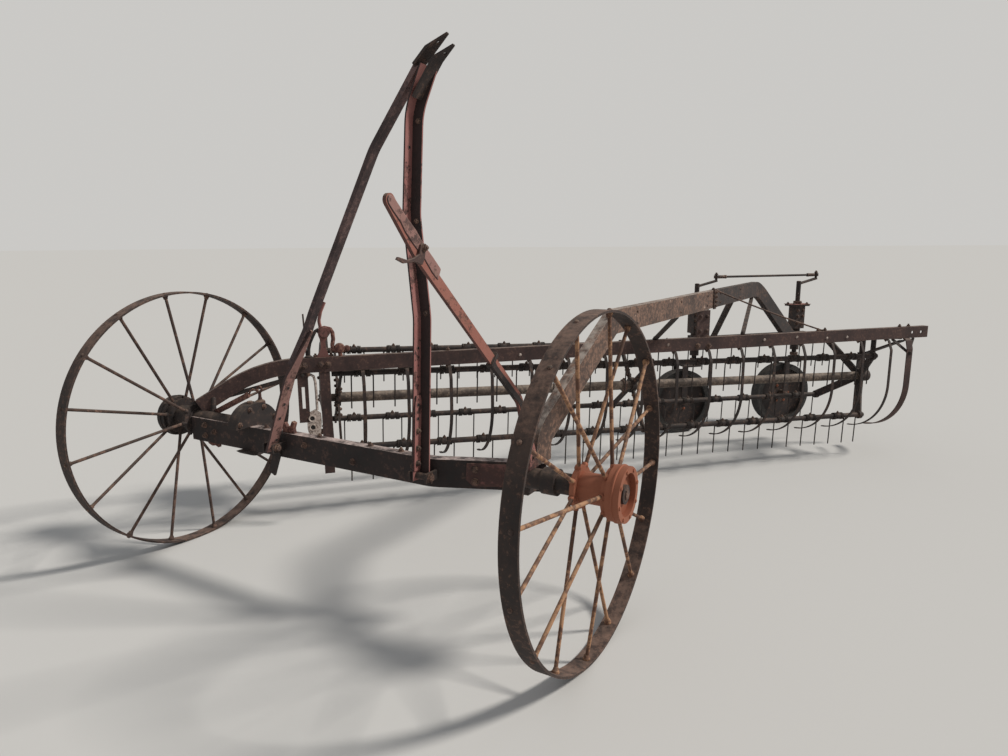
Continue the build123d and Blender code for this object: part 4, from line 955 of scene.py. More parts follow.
@dataclass
class Reel:
    """Coiled tine wires on the tine bars, and the bolts of the reel's spiders."""

    radius: float = 0.32
    top_angle: float = 126.8
    bar_radius: float = 0.017
    wire_radius: float = 0.004
    first_s: float = 0.823
    pitch: float = 0.245
    clamps: int = 15
    coil_start: float = 0.018
    coil_turns: int = 3
    coil_steps: int = 12
    leg_offset: float = 0.06125
    spider_s: tuple[float, float] = (0.706, 2.66)
    spider_half: float = 0.006
    collar_s: tuple[float, float] = (2.60, 2.72)
    crank_offset: float = 0.15
    crank_direction: float = 135.0
    disc_bolt_radius: float = 0.13
    disc_turn: float = 0.2
    disc_face_s: float = 0.612
    pin_face_s: float = 0.6208
    clamp_top: float = 0.0225
    bolt_shares: tuple[float, float] = (0.24, 0.36)
    spider_bolt: Size = (0.017, 0.008, 0.003)
    clamp_bolt: Size = (0.015, 0.007, 0.005)
    collar_screw: Size = (0.014, 0.007)
    disc_bolt: Size = (0.019, 0.009, 0.003)
    pin_nut: Size = (0.024, 0.010, 0.004)

    def bars(self) -> list[tuple[int, float, float]]:
        """Each tine bar's number and its place in front of the shaft and above it."""
        turns = [(number, math.radians(self.top_angle - 90.0 * (number - 1))) for number in (1, 2, 3, 4)]
        return [(number, self.radius * math.cos(a), self.radius * math.sin(a)) for number, a in turns]

    def coil(self, piece: MeshPiece, x: float, z: float, start: float, end: float) -> None:
        """Winds a tine's wire round its bar from the clamp to the leg.

        Args:
            piece: Where the wire goes.
            x: The bar's place in front of the shaft.
            z: The bar's place above the shaft.
            start: Where the wire leaves the clamp.
            end: Where its leg hangs.
        """
        points = []
        steps = self.coil_turns * self.coil_steps
        reach = self.bar_radius + self.wire_radius + 0.0015
        coil_end = start + math.copysign(self.coil_turns * self.wire_radius * 2.15, end - start)
        for k in range(steps + 1):
            angle = 2 * math.pi * k / self.coil_steps
            s = start + (coil_end - start) * k / steps
            points.append(LAYOUT.reel(x + reach * math.cos(angle), s, z + reach * math.sin(angle)))
        for share in (0.35, 0.7, 1.0):
            drop = (self.bar_radius + 0.004) * share
            points.append(LAYOUT.reel(x + reach * (1 - share), coil_end + (end - coil_end) * share, z - drop))
        points.append(LAYOUT.reel(x, end, z - self.bar_radius - 0.012))
        piece.tube(points, self.wire_radius * 0.92, 6)

    def build_coils(self) -> None:
        """Builds the wire coils of each tine bar and the bolts of its clamps."""
        for number, x, z in self.bars():
            body = Body("tine_bar_body_%d" % number)
            coils = MeshPiece("tine_coils_%d" % number, TINE_STEEL, body)
            bolts = MeshPiece("tine_clamp_bolts_%d" % number, BOLT_IRON, body)
            for k in range(self.clamps):
                s = self.first_s + self.pitch * k
                for sign in (-1, 1):
                    self.coil(coils, x, z, s + sign * self.coil_start, s + sign * self.leg_offset)
                bolts.hex_head(LAYOUT.reel(x, s, z + self.clamp_top), LAYOUT.reel_up, *self.clamp_bolt)
            coils.finish_up()
            bolts.finish_up()

    def build_spider_bolts(self) -> None:
        """Builds the bolts of the spiders' hubs and the shaft's collars."""
        piece = MeshPiece("spider_bolts", BOLT_IRON, Body.REEL)
        along = LAYOUT.reel_along
        for s in self.spider_s:
            for sign in (-1, 1):
                face = s + sign * self.spider_half
                for _, x, z in self.bars():
                    spots = [LAYOUT.reel(x * share, face, z * share) for share in self.bolt_shares]
                    piece.heads(spots, along * sign, self.spider_bolt)
        rows = ((0.0305, -0.012), (0.040, -0.012), (0.041, -0.010), (0.041, 0.010), (0.040, 0.012), (0.0305, 0.012))
        for s in self.collar_s:
            piece.turned(LAYOUT.reel(0.0, s, 0.0), along, rows, 24)
            piece.hex_head(LAYOUT.reel(0.0, s, 0.0405), LAYOUT.reel_up, *self.collar_screw)
        piece.finish_up()

    def build_eccentric_bolts(self) -> None:
        """Builds the bolts of the eccentric disc and the nuts on the crank pins."""
        along = LAYOUT.reel_along
        angle = math.radians(self.crank_direction)
        cx, cz = self.crank_offset * math.cos(angle), self.crank_offset * math.sin(angle)
        disc = MeshPiece("eccentric_bolts")
        for k in range(6):
            x, z = (self.disc_bolt_radius * turn(math.pi / 3 * k + self.disc_turn) for turn in (math.cos, math.sin))
            disc.hex_head(LAYOUT.reel(cx + x, self.disc_face_s, cz + z), -along, *self.disc_bolt)
        disc.finish_up()
        for number, x, z in self.bars():
            nut = MeshPiece("crank_pin_nut_%d" % number, BOLT_IRON, Body("tine_bar_body_%d" % number))
            nut.hex_head(LAYOUT.reel(x + cx, self.pin_face_s, z + cz), -along, *self.pin_nut)
            nut.finish_up()

    def build(self) -> None:
        """Builds every small part of the reel."""
        self.build_coils()
        self.build_spider_bolts()
        self.build_eccentric_bolts()


@dataclass
class Arch:
    """Bolts, splice, truss rod and stays of the arch over the rake."""

    splice_along: float = 2.285
    splice_face: float = 0.0309
    splice_rises: tuple[float, ...] = (-0.045, -0.015, 0.015, 0.045)
    side: float = 0.0225
    rivets_along: tuple[float, ...] = (0.95, 1.62, 2.14, 2.43, 2.95)
    rivet_rise: float = 0.03
    truss_sag: float = 0.010
    splice_bolt: Size = (0.017, 0.008, 0.006)
    rod_nut: Size = (0.021, 0.012, 0.008)
    stay_bolt: Size = (0.019, 0.010, 0.004)

    def build_rivets(self) -> None:
        """Builds the bolts of the splice's plate and the rivets along the arch's web."""
        out = LAYOUT.arch(1, 1, 0) - LAYOUT.arch(1, 0, 0)
        bolts = MeshPiece("splice_bolts")
        spots = [LAYOUT.arch(self.splice_along, self.splice_face, LAYOUT.arch_z + rise) for rise in self.splice_rises]
        bolts.heads(spots, out, self.splice_bolt)
        bolts.finish_up()
        rivets = MeshPiece("arch_rivets")
        for along in self.rivets_along:
            for rise in (-self.rivet_rise, self.rivet_rise):
                rivets.rivet(LAYOUT.arch(along, self.side, LAYOUT.arch_z + rise), out)
        rivets.finish_up()

    def build_truss(self) -> None:
        """Builds the truss rod from the arch's splice down to the beam, with its hooked ends."""
        piece = MeshPiece("truss_rod")
        top, foot = LAYOUT.arch(2.337, 0.030, 1.236), LAYOUT.beam(3.922, -0.017, 0.962)
        line = [LAYOUT.arch(2.300, 0.020, 1.246), LAYOUT.arch(2.318, 0.028, 1.244), top]
        line += [top.lerp(foot, k / 6) - UP * self.truss_sag * math.sin(math.pi * k / 6) for k in range(1, 6)]
        line += [foot, LAYOUT.beam(3.955, -0.017, 0.959)]
        piece.tube(line, 0.0055)
        piece.hex_head(LAYOUT.beam(3.955, -0.017, 0.955), UP, *self.rod_nut)
        piece.hex_head(LAYOUT.arch(2.300, 0.010, LAYOUT.arch_z + 0.0575), UP, *self.stay_bolt)
        piece.finish_up()

    def build_stays(self) -> None:
        """Builds the flat stays between the beam and the arch."""
        piece = MeshPiece("arch_stays", DARK_IRON)
        rows = (
            (LAYOUT.beam(2.644, -0.017, 0.958), LAYOUT.arch(1.603, 0.0, 1.124), 0.034),
            (LAYOUT.beam(3.302, -0.030, 0.958), LAYOUT.arch(3.42, -0.004, 1.118), 0.028),
        )
        for foot, head, width in rows:
            piece.bar(foot, head, UP.cross(head - foot), width, 0.009)
            piece.hex_head(foot + UP * 0.004, UP, *self.stay_bolt)
        piece.finish_up(0.001)

    def build(self) -> None:
        """Builds every small part of the arch."""
        self.build_rivets()
        self.build_truss()
        self.build_stays()


@dataclass
class GearEnd:
    """Small castings, rods and plates round the gear case and on the front channel."""

    channel_top: float = 0.682
    channel_front: float = -0.050
    case_radius: float = 0.132
    case_bolt_radius: float = 0.114
    case_end: float = -0.633
    hardware_p: float = -0.010
    doubler_start: tuple[float, float, float] = (0.880, 0.148, 0.622)
    doubler_along: tuple[float, float, float] = (0.931, 0.366, 0.0)
    doubler_lift: float = 0.0281
    channel_bolt: Size = (0.021, 0.011, 0.006)
    channel_top_bolt: Size = (0.019, 0.010, 0.006)
    rod_bolt: Size = (0.019, 0.009, 0.004)
    case_bolt: Size = (0.017, 0.009, 0.004)

    def build_shifter(self) -> None:
        """Builds the rod from the shift lever to the slotted strap, and the post on the case."""
        rod = MeshPiece("shift_rod", DARK_IRON)
        end = LAYOUT.beam(0.502, -0.012, 0.862)
        rod.bar(LAYOUT.at(-1.000, 0.040, 0.762), end, UP, 0.022, 0.008)
        rod.hex_head(end + LAYOUT.ahead * 0.004, LAYOUT.ahead, *self.rod_bolt)
        rows = ((0.018, 0.0), (0.014, 0.02), (0.013, 0.07), (0.008, 0.078))
        rod.turned(LAYOUT.at(-1.000, 0.030, 0.700), Vector((0, 0.1, 1)), rows, 14)
        rod.finish_up()
        post = MeshPiece("shifter_post", CASTING_RED)
        base = LAYOUT.at(-0.664, 0.050, 0.779)
        rows = ((0.026, 0.0), (0.024, 0.010), (0.012, 0.018), (0.008, 0.030), (0.0075, 0.055))
        post.turned(base, UP, rows, 14)
        turns = [math.pi * k / 8 - math.pi / 2 for k in range(16)]
        ring = [base + UP * (0.070 + 0.015 * math.sin(a)) + LEFT * 0.015 * math.cos(a) for a in turns]
        post.tube(ring + [ring[0]], 0.0055)
        hook = ((-0.664, 0.826), (-0.685, 0.840), (-0.712, 0.843), (-0.732, 0.832), (-0.742, 0.812))
        post.tube([LAYOUT.at(x, 0.050, z) for x, z in hook], 0.006, 8, 0.75)
        post.finish_up()

    def build_case_fittings(self) -> None:
        """Builds the case's flange bolts and its filler plug."""
        piece = MeshPiece("gear_case_bolts")
        for angle in (math.pi / 4 * (k + 0.5) for k in (0, 1, 2, 3, 6, 7)):
            y, z = self.case_bolt_radius * math.cos(angle), self.case_bolt_radius * math.sin(angle)
            piece.hex_head(LAYOUT.at(self.case_end, y, LAYOUT.axle_height + z), LEFT, *self.case_bolt)
        top = LAYOUT.at(-0.665, -0.012, LAYOUT.axle_height + self.case_radius - 0.001)
        piece.turned(top, UP, ((0.016, 0.0), (0.016, 0.006), (0.011, 0.010)), 6)
        piece.finish_up()

    def build_hanging_hardware(self) -> None:
        """Builds the hooked rod and the two-hole casting beside the slotted strap."""
        rod = MeshPiece("hooked_rod", PALE_BARE)
        rows = (
            (0.522, 0.842), (0.530, 0.858), (0.546, 0.862), (0.560, 0.852), (0.567, 0.820), (0.569, 0.760),
            (0.569, 0.665),
        )
        rod.tube(LAYOUT.beam_line(self.hardware_p, rows), 0.0075, 10)
        rod.finish_up()
        casting = MeshPiece("two_hole_casting", PALE_BARE)
        # Dark discs of painted shade stand in for the casting's two bores.
        dark = MeshPiece("two_hole_casting_shade_discs", HOLE_DARK)
        rows = (
            (0.520, 0.650), (0.560, 0.668), (0.588, 0.645), (0.590, 0.600), (0.582, 0.530), (0.556, 0.505),
            (0.524, 0.516), (0.513, 0.560), (0.514, 0.610),
        )
        casting.plate(LAYOUT.beam_line(self.hardware_p, rows), LAYOUT.ahead, 0.016)
        for face in LAYOUT.beam_line(self.hardware_p + 0.008, ((0.540, 0.620), (0.541, 0.570))):
            casting.turned(face, LAYOUT.ahead, ((0.020, 0.0), (0.019, 0.004), (0.014, 0.004), (0.013, 0.001)), 18)
            dark.turned(face, LAYOUT.ahead, ((0.0132, 0.0006), (0.0132, 0.0012)), 18)
        casting.finish_up(0.002)
        dark.finish_up()
        tie = MeshPiece("casting_bolts")
        tie.turned(LAYOUT.beam(0.533, -0.002, 0.868), UP, ((0.010, -0.012), (0.010, 0.007)), 10)
        tie.bar(*LAYOUT.beam_line(-0.012, ((0.572, 0.540), (0.622, 0.540))), UP, 0.030, 0.010)
        tie.finish_up()

    def build_channel_fittings(self) -> None:
        """Builds the lugs on the channel, its red doubler and the bolts through it."""
        red = MeshPiece("channel_lugs", CASTING_RED)
        upper = (
            (-0.420, 0.682), (-0.345, 0.682), (-0.350, 0.705), (-0.338, 0.735), (-0.356, 0.742), (-0.372, 0.712),
            (-0.392, 0.712), (-0.404, 0.732), (-0.418, 0.722),
        )
        lower = (
            (-0.975, 0.562), (-0.890, 0.562), (-0.894, 0.538), (-0.915, 0.546), (-0.940, 0.541), (-0.968, 0.550),
        )
        for rows in (upper, lower):
            red.plate([LAYOUT.at(x, -0.030, z) for x, z in rows], Vector((0, 1, 0)), 0.020)
        red.finish_up(0.002)
        doubler = MeshPiece("channel_doubler", FADED_RED)
        along = Vector(self.doubler_along).normalized()
        out = along.cross(UP)
        start = LAYOUT.at(*self.doubler_start) + out * self.doubler_lift
        rows = (
            (-0.325, 0.050), (-0.105, 0.050), (-0.095, 0.020), (-0.095, -0.045), (-0.300, -0.048), (-0.330, -0.020),
        )
        doubler.plate([start + along * a + UP * z for a, z in rows], out, 0.006)
        doubler.finish_up(0.0015)
        bolts = MeshPiece("channel_bolts")
        corners = [(a, z) for a in (-0.29, -0.13) for z in (0.025, -0.028)]
        bolts.heads([start + along * a + out * 0.003 + UP * z for a, z in corners], out, self.channel_bolt)
        rows = ((-0.970, 0.650), (-0.970, 0.595), (-0.900, 0.622), (-0.270, 0.640), (0.02, 0.605), (0.36, 0.640))
        spots = [LAYOUT.at(x, self.channel_front, z) for x, z in rows]
        bolts.heads(spots, Vector((0, -1, 0)), self.channel_bolt)
        spots = [LAYOUT.at(x, -0.020, self.channel_top) for x in (-0.55, -0.20, 0.10, 0.27)]
        bolts.heads(spots, UP, self.channel_top_bolt)
        bolts.finish_up()

    def build_lever_seat(self) -> None:
        """Builds the red side plates at the foot of the lift lever."""
        piece = MeshPiece("lever_seat", FADED_RED)
        rows = ((-0.040, 0.700), (0.036, 0.700), (0.020, 0.745), (-0.002, 0.800), (-0.022, 0.812), (-0.036, 0.780))
        for x in (0.873, 0.897):
            piece.plate([LAYOUT.at(x, y, z) for y, z in rows], LEFT, 0.009)
        piece.finish_up(0.0015)

    def build(self) -> None:
        """Builds every small part of the gear end and the channel."""
        self.build_shifter()
        self.build_case_fittings()
        self.build_hanging_hardware()
        self.build_channel_fittings()
        self.build_lever_seat()


@dataclass
class Caster:
    """Small parts of one caster: its post, fork and wheel."""

    number: int
    s: float
    fork_body: Body
    wheel_body: Body
    post_p: float = -1.12
    trail: float = 0.12
    plate_top: float = 1.03
    block_half: float = 0.046
    block_bolts_z: tuple[float, ...] = (0.87, 0.93, 0.98)
    fork_top: float = 0.60
    shaft_top: float = 1.224
    cheek_face: float = 0.074
    tyre_radius: float = 0.262
    tyre_face: float = 0.0442
    disc_face: float = 0.010
    bolt_radius: float = 0.075
    bead_drops: tuple[float, float] = (0.030, 0.042)
    bead_radius: float = 0.0022
    plate_bolt: Size = (0.021, 0.010, 0.006)
    block_bolt: Size = (0.019, 0.009, 0.003)
    eye_half: float = 0.016
    collar_screw: Size = (0.013, 0.007)
    axle_nut: Size = (0.030, 0.014, 0.006)
    eye_nut: Size = (0.024, 0.010, 0.008)
    disc_bolt: Size = (0.015, 0.007, 0.002)

    def post(self, ds: float, dp: float, z: float) -> Vector:
        """A point from the post's middle, at a height."""
        return LAYOUT.beam(self.s + ds, self.post_p + dp, z)

    def wheel(self, angle: float, radius: float, side: float) -> Vector:
        """A point on the wheel, by its angle, its distance from the axle and to one side."""
        out = LAYOUT.along * math.cos(angle) + UP * math.sin(angle)
        return self.post(-self.trail, 0.0, self.tyre_radius) + out * radius + LAYOUT.ahead * side

    def build_post(self) -> None:
        """Builds the bolts of the post's plate and block."""
        piece = MeshPiece("post_bolts_%d" % self.number)
        corners = [(ds, dp) for ds in (-0.066, 0.066) for dp in (-0.038, 0.038)]
        piece.heads([self.post(ds, dp, self.plate_top) for ds, dp in corners], UP, self.plate_bolt)
        for sign in (-1, 1):
            places = [(ds, z) for ds in (-0.026, 0.026) for z in self.block_bolts_z]
            spots = [self.post(ds, sign * self.block_half, z) for ds, z in places]
            piece.heads(spots, LAYOUT.ahead * sign, self.block_bolt)
        piece.finish_up()

    def build_cap(self) -> None:
        """Builds the red plate on top of the post."""
        cap = MeshPiece("post_cap_%d" % self.number, FADED_RED)
        rows = ((-0.090, -0.060), (0.085, -0.062), (0.100, -0.020), (0.090, 0.062), (-0.086, 0.064), (-0.098, 0.015))
        cap.plate([self.post(ds, dp, self.plate_top + 0.0020) for ds, dp in rows], UP, 0.0035)
        cap.finish_up()

    def build_fork(self) -> None:
        """Builds the fork's collars, axle nuts, eye nut and the shaft's rounded end."""
        piece = MeshPiece("fork_fittings_%d" % self.number, BOLT_IRON, self.fork_body)
        collar = self.post(0.0, 0.0, self.plate_top + 0.012)
        rows = ((0.0195, -0.008), (0.032, -0.008), (0.034, -0.006), (0.034, 0.014), (0.032, 0.016), (0.0195, 0.016))
        piece.turned(collar, UP, rows, 24)
        piece.hex_head(collar + LAYOUT.ahead * 0.0335 + UP * 0.004, LAYOUT.ahead, *self.collar_screw)
        rows = ((0.0195, -0.01), (0.031, -0.01), (0.033, -0.008), (0.033, 0.012), (0.031, 0.014), (0.0195, 0.014))
        piece.turned(self.post(0.0, 0.0, self.fork_top), UP, rows, 24)
        piece.turned(self.post(0.0, 0.0, self.shaft_top), UP, ((0.0185, 0.0), (0.017, 0.003), (0.012, 0.005)))
        for sign in (-1, 1):
            piece.hex_head(self.wheel(0.0, 0.0, sign * self.cheek_face), LAYOUT.ahead * sign, *self.axle_nut)
        piece.hex_head(LAYOUT.tie_eye(self.s) + UP * self.eye_half, UP, *self.eye_nut)
        piece.finish_up()

    def build_wheel(self) -> None:
        """Builds the bolts on both sides of the wheel's disc."""
        piece = MeshPiece("caster_rim_%d" % self.number, HUB_RUST, self.wheel_body)
        for sign in (-1, 1):
            spots = [self.wheel(math.pi / 3 * k, self.bolt_radius, sign * self.disc_face) for k in range(6)]
            piece.heads(spots, LAYOUT.ahead * sign, self.disc_bolt)
        piece.finish_up()

    def build_beads(self) -> None:
        """Builds the bead rings on the tyre's sides."""
        piece = MeshPiece("tyre_ribs_%d" % self.number, TYRE, self.wheel_body)
        for sign in (-1, 1):
            for drop in self.bead_drops:
                turns = [math.pi * k / 24 for k in range(48)]
                ring = [self.wheel(a, self.tyre_radius - drop, sign * self.tyre_face) for a in turns]
                piece.tube(ring + [ring[0]], self.bead_radius, 6)
        made = piece.finish_up()

    def build(self) -> None:
        """Builds every small part of the caster."""
        self.build_post()
        self.build_fork()
        self.build_wheel()
        self.build_cap()
        self.build_beads()


@dataclass
class TieRod:
    """The tie rod's threaded sleeves and lock nuts."""

    stations: tuple[float, float]

    def build(self) -> None:
        """Builds both sleeves and nuts."""
        piece = MeshPiece("tie_rod_nuts", BOLT_IRON, Body.TIE_ROD)
        for s, along in zip(self.stations, (LAYOUT.along, -LAYOUT.along)):
            piece.turned(LAYOUT.tie_eye(s), along, ((0.0135, 0.021), (0.0135, 0.075), (0.011, 0.080)), 12)
            piece.turned(LAYOUT.tie_eye(s), along, ((0.0165, 0.080), (0.0165, 0.092)), 6)
        piece.finish_up()


@dataclass(frozen=True)
class Hinge:
    """One of the drawbar's two hinges: where its middle is and how far its ears stand from it."""

    x: float
    spread: float


@dataclass
class Drawbar:
    """Bolts, holes, fishplate and pins of the folded drawbar and its hinges."""

    left_x: float = 0.42
    hinges: tuple[Hinge, ...] = (Hinge(-0.43, 0.030), Hinge(0.432, 0.040))
    ear_half: float = 0.005
    strap_half: float = 0.006
    strap_foot: tuple[float, float] = (-0.438, -0.02)
    strap_top: tuple[float, float] = (-0.311, 0.336)
    web_half: float = 0.0035
    web_drop: float = 0.009
    plate_bolt: Size = (0.017, 0.008, 0.005)
    leg_bolt: Size = (0.015, 0.007, 0.002)
    bends: Rows = ((-0.02, -0.012), (0.64, -0.016), (1.04, -0.074), (1.44, -0.068), (1.6, 0.0))

    def build_hinge_pins(self) -> None:
        """Builds the hinge pins' heads and cotter pins, which stay on the frame."""
        piece = MeshPiece("hinge_pin_ends")
        start = self.ear_half
        for hinge in self.hinges:
            for sign in (-1, 1):
                end = LAYOUT.at(hinge.x + sign * hinge.spread, LAYOUT.draw_y, LAYOUT.pivot_z)
                out = LEFT * sign
                piece.turned(end, out, ((0.020, start), (0.020, start + 0.003)), 18)
                piece.turned(end, out, ((0.0135, start), (0.0135, start + 0.012), (0.011, start + 0.014)), 14)
                pin = end + out * (start + 0.008)
                piece.tube([pin - UP * 0.024, pin, pin + UP * 0.020], 0.002, 6)
        piece.finish_up()

    def build_strap_holes(self) -> None:
        """Builds the worn holes up the right strap's broad face."""
        rim = MeshPiece("strap_hole_rims", PINK_BARS, Body.DRAWBAR)
        # Dark discs of painted shade stand in for the holes' insides.
        dark = MeshPiece("strap_hole_shade_discs", HOLE_DARK, Body.DRAWBAR)
        foot = Vector(self.strap_foot)
        run = Vector(self.strap_top) - foot
        out = Vector((run.y, 0.0, -run.x)).normalized()
        for rise, off in ((0.036, 0.010), (0.144, -0.004), (0.212, 0.002), (0.290, 0.0)):
            x = foot.x + run.x * (rise - foot.y) / run.y
            rim.hole(dark, LAYOUT.drawbar(x, rise) + out * self.strap_half + LAYOUT.draw_back * off, out)
        rim.finish_up()
        dark.finish_up()

    def build_bar_fittings(self) -> None:
        """Builds the left bar's fishplate, bolts and holes."""
        plate = MeshPiece("left_bar_fishplate", LEFT_BAR_RED, Body.DRAWBAR)
        bolts = MeshPiece("drawbar_bolts", BOLT_IRON, Body.DRAWBAR)
        rim = MeshPiece("left_bar_hole_rims", LEFT_BAR_RED, Body.DRAWBAR)
        # Dark discs of painted shade stand in for the holes' insides.
        dark = MeshPiece("left_bar_hole_shade_discs", HOLE_DARK, Body.DRAWBAR)
        back = LAYOUT.draw_back
        x = self.left_x - self.web_drop
        outline = (
            (-0.024, 0.02), (0.018, 0.02), (0.018, 0.15), (0.021, 0.30), (0.014, 0.33), (-0.018, 0.33),
            (-0.024, 0.28),
        )
        plate.plate([LAYOUT.drawbar(x + 0.0022, rise) + back * off for off, rise in outline], LEFT, 0.005)
        plate.finish_up(0.001)
        spots = [LAYOUT.drawbar(x + 0.0045, rise) - back * 0.003 for rise in (0.052, 0.115, 0.186)]
        bolts.heads(spots, LEFT, self.plate_bolt)
        for rise in (0.235, 0.292):
            rim.hole(dark, LAYOUT.drawbar(x + 0.0045, rise) - back * 0.004, LEFT, 0.007)
        for rise in (0.52, 0.90, 1.30):
            rim.hole(dark, LAYOUT.drawbar(self.bar_x(rise) + self.web_half, rise), LEFT, 0.006)
        for rise in (0.66, 1.02, 1.40):
            leg = LAYOUT.drawbar(self.bar_x(rise) + 0.030, rise) + back * 0.019
            bolts.hex_head(leg, -back, *self.leg_bolt)
        bolts.finish_up()
        rim.finish_up()
        dark.finish_up()

    def bar_x(self, rise: float) -> float:
        """Where the left bar's middle stands at a height.

        Args:
            rise: Height above the hinge.

        Returns:
            Its place across the machine.
        """
        for (low, a), (high, b) in zip(self.bends, self.bends[1:]):
            if rise <= high:
                return self.left_x + a + (b - a) * (rise - low) / (high - low)
        return self.left_x + self.bends[-1][1]

    def build(self) -> None:
        """Builds every small part of the drawbar."""
        self.build_hinge_pins()
        self.build_strap_holes()
        self.build_bar_fittings()


@dataclass
class LiftLever:
    """The lift lever's worn grip, its socket, trigger and bolts."""

    lever_x: float = 0.885
    half: float = 0.006
    grip_rows: Rows = (
        (-0.630, 0.808), (-0.667, 0.849), (-0.716, 0.889), (-0.750, 0.921), (-0.768, 0.946), (-0.802, 0.977),
        (-0.818, 0.994), (-0.822, 1.006), (-0.816, 1.016), (-0.803, 1.019), (-0.784, 1.005), (-0.759, 0.981),
        (-0.739, 0.962), (-0.700, 0.929), (-0.665, 0.890), (-0.623, 0.854), (-0.584, 0.818), (-0.600, 0.785),
    )
    socket_rows: Rows = (
        (-0.287, 0.515), (-0.262, 0.480), (-0.093, 0.335), (-0.062, 0.310), (0.026, 0.048), (-0.012, 0.048),
        (-0.098, 0.305), (-0.120, 0.328), (-0.290, 0.478), (-0.303, 0.498),
    )
    trigger_rows: Rows = (
        (-0.801, 0.850), (-0.771, 0.839), (-0.723, 0.842), (-0.686, 0.833), (-0.675, 0.852), (-0.668, 0.882),
        (-0.680, 0.894), (-0.690, 0.889), (-0.699, 0.863), (-0.722, 0.853), (-0.754, 0.848), (-0.794, 0.857),
    )

    trigger_spots: Rows = ((-0.677, 0.880),)
    foot_spots: Rows = ((-0.012, 0.088), (-0.046, 0.172))
    trigger_bolt: Size = (0.015, 0.007, 0.004)
    foot_bolt: Size = (0.021, 0.010, 0.006)
    foot_nut: Size = (0.021, 0.010, 0.002)

    def place(self, x: float, rows: Rows) -> list[Vector]:
        """Points by their distance behind the axle and rise above it, x to the lever's left."""
        return [LAYOUT.at(self.lever_x + x, y, LAYOUT.axle_height + rise) for y, rise in rows]

    def build(self) -> None:
        """Builds every small part of the lever."""
        grip = MeshPiece("lever_grip", PINK_BARS)
        grip.plate(self.place(0.0, self.grip_rows), LEFT, 0.017)
        grip.finish_up(0.0035)
        socket = MeshPiece("lever_socket", DARK_IRON)
        socket.plate(self.place(0.0, self.socket_rows), LEFT, 0.0155)
        socket.bar(*self.place(0.0, ((-0.300, 0.485), (-0.268, 0.520))), LEFT, 0.026, 0.012)
        socket.finish_up(0.0012)
        trigger = MeshPiece("lever_trigger", BEAM_IRON)
        trigger.plate(self.place(0.0130, self.trigger_rows), LEFT, 0.008)
        trigger.finish_up(0.0015)
        bolts = MeshPiece("lever_bolts")
        bolts.heads(self.place(0.0170, self.trigger_spots), LEFT, self.trigger_bolt)
        bolts.heads(self.place(self.half, self.foot_spots), LEFT, self.foot_bolt)
        bolts.heads(self.place(-self.half, self.foot_spots), -LEFT, self.foot_nut)
        bolts.finish_up()


# Studio

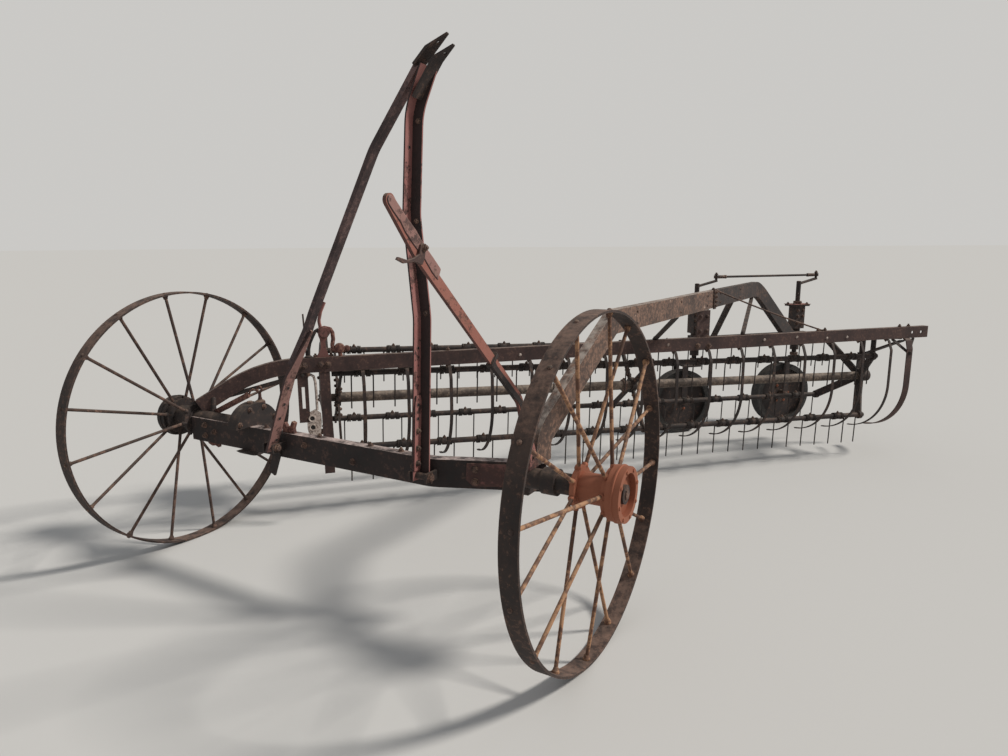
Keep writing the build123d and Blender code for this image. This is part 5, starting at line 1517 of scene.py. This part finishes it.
@dataclass
class Studio:
    """Floor, light and camera."""

    lens: float = 24.868
    azimuth: float = math.radians(29.84)
    pitch: float = math.radians(10.83)
    roll: float = math.radians(-0.341)
    eye: tuple[float, float, float] = (2.0797, -2.287, 1.5469)
    key_strength: float = 2.9
    key_travel: tuple[float, float, float] = (-0.66, -0.38, -0.65)
    key_spread: float = math.radians(9)
    sky_strength: float = 0.36
    floor_half: float = 400.0
    floor: Colour = (0.62, 0.61, 0.59)

    @property
    def backdrop(self) -> Colour:
        """The backdrop's colour, the same as the lit floor's."""
        level = self.sky_strength + self.key_strength / math.pi * -Vector(self.key_travel).normalized().z
        return tuple(channel * level for channel in self.floor)

    def place(self, name: str, data: bpy.types.ID) -> bpy.types.Object:
        """Puts a mesh, light or camera in the scene.

        Args:
            name: The object's name.
            data: What it shows.

        Returns:
            The object.
        """
        made = bpy.data.objects.new(name, data)
        bpy.context.scene.collection.objects.link(made)
        return made

    def build_floor(self) -> None:
        """Builds the plain pale floor."""
        half = self.floor_half
        corners = [(-half, -half, 0.0), (half, -half, 0.0), (half, half, 0.0), (-half, half, 0.0)]
        mesh = bpy.data.meshes.new("studio_floor")
        mesh.from_pydata(corners, [], [(0, 1, 2, 3)])
        material = bpy.data.materials.new("studio_floor")
        material.use_nodes = True
        shader = material.node_tree.nodes["Principled BSDF"]
        shader.inputs["Base Color"].default_value = (*self.floor, 1)
        shader.inputs["Roughness"].default_value = 1.0
        shader.inputs["Specular IOR Level"].default_value = 0.0
        mesh.materials.append(material)
        made = self.place("studio_floor", mesh)

    def build_world(self) -> None:
        """Sets a soft even sky that looks pale behind the rake."""
        world = bpy.data.worlds.new("studio_sky")
        bpy.context.scene.world = world
        world.use_nodes = True
        world.node_tree.nodes.clear()
        t = NodeTree(world.node_tree)
        path = t.add("LightPath").outputs
        light = t.add("Background", {0: (0.93, 0.96, 1.0), 1: self.sky_strength})
        seen = t.add("Background", {0: self.backdrop, 1: 1.0})
        either = t.math("MAXIMUM", path["Is Camera Ray"], path["Is Glossy Ray"])
        mix = t.add("MixShader", {0: either, 1: light.outputs[0], 2: seen.outputs[0]})
        t.add("OutputWorld", {0: mix.outputs[0]})

    def build_key(self) -> None:
        """Builds the soft key light, high on the machine's left."""
        data = bpy.data.lights.new("key_light", "SUN")
        data.energy = self.key_strength
        data.angle = self.key_spread
        data.color = (1.0, 0.96, 0.90)
        self.place("key_light", data).rotation_euler = Vector(self.key_travel).to_track_quat("-Z", "Y").to_euler()

    def build_camera(self) -> None:
        """Sets the camera at the photograph's angle."""
        a, p, r = self.azimuth, self.pitch, self.roll
        right = Vector((math.cos(a), math.sin(a), 0.0))
        view = Vector((-math.sin(a) * math.cos(p), math.cos(a) * math.cos(p), -math.sin(p)))
        up = right.cross(view)
        axes = Matrix((right * math.cos(r) + up * math.sin(r), up * math.cos(r) - right * math.sin(r), -view))
        data = bpy.data.cameras.new("main_camera")
        data.sensor_width = 36.0
        data.lens = self.lens
        data.clip_start = 0.02
        data.clip_end = 1000.0
        made = self.place("main_camera", data)
        made.matrix_world = Matrix.Translation(LAYOUT.at(*self.eye)) @ axes.transposed().to_4x4()
        bpy.context.scene.camera = made

    def build(self) -> None:
        """Builds the whole studio."""
        self.build_floor()
        self.build_world()
        self.build_key()
        self.build_camera()
        bpy.context.scene.view_settings.view_transform = "Standard"


def main() -> None:
    """Builds the rake's finishes, its small parts and the studio."""
    logging.basicConfig(level=logging.INFO, format="%(name)s: %(message)s")
    build_effects()
    Studio().build()
    dress_nodes()
    # The left wheel's spokes carry painted light, the right wheel's painted shade.
    RoadWheel(1, "left", 4.4, SPOKE_LIT, HUB_RUST, Body.WHEEL_LEFT, 0.0015).build()
    RoadWheel(-1, "right", -4.0, SPOKE_SHADED, DARK_IRON, Body.WHEEL_RIGHT, 0.0062).build()
    RakeBeam().build()
    Reel().build()
    Arch().build()
    GearEnd().build()
    Caster(1, 3.65, Body.CASTER_ONE, Body.CASTER_WHEEL_ONE).build()
    Caster(2, 4.65, Body.CASTER_TWO, Body.CASTER_WHEEL_TWO).build()
    TieRod((3.65, 4.65)).build()
    Drawbar().build()
    LiftLever().build()


if __name__ == "__main__":
    main()
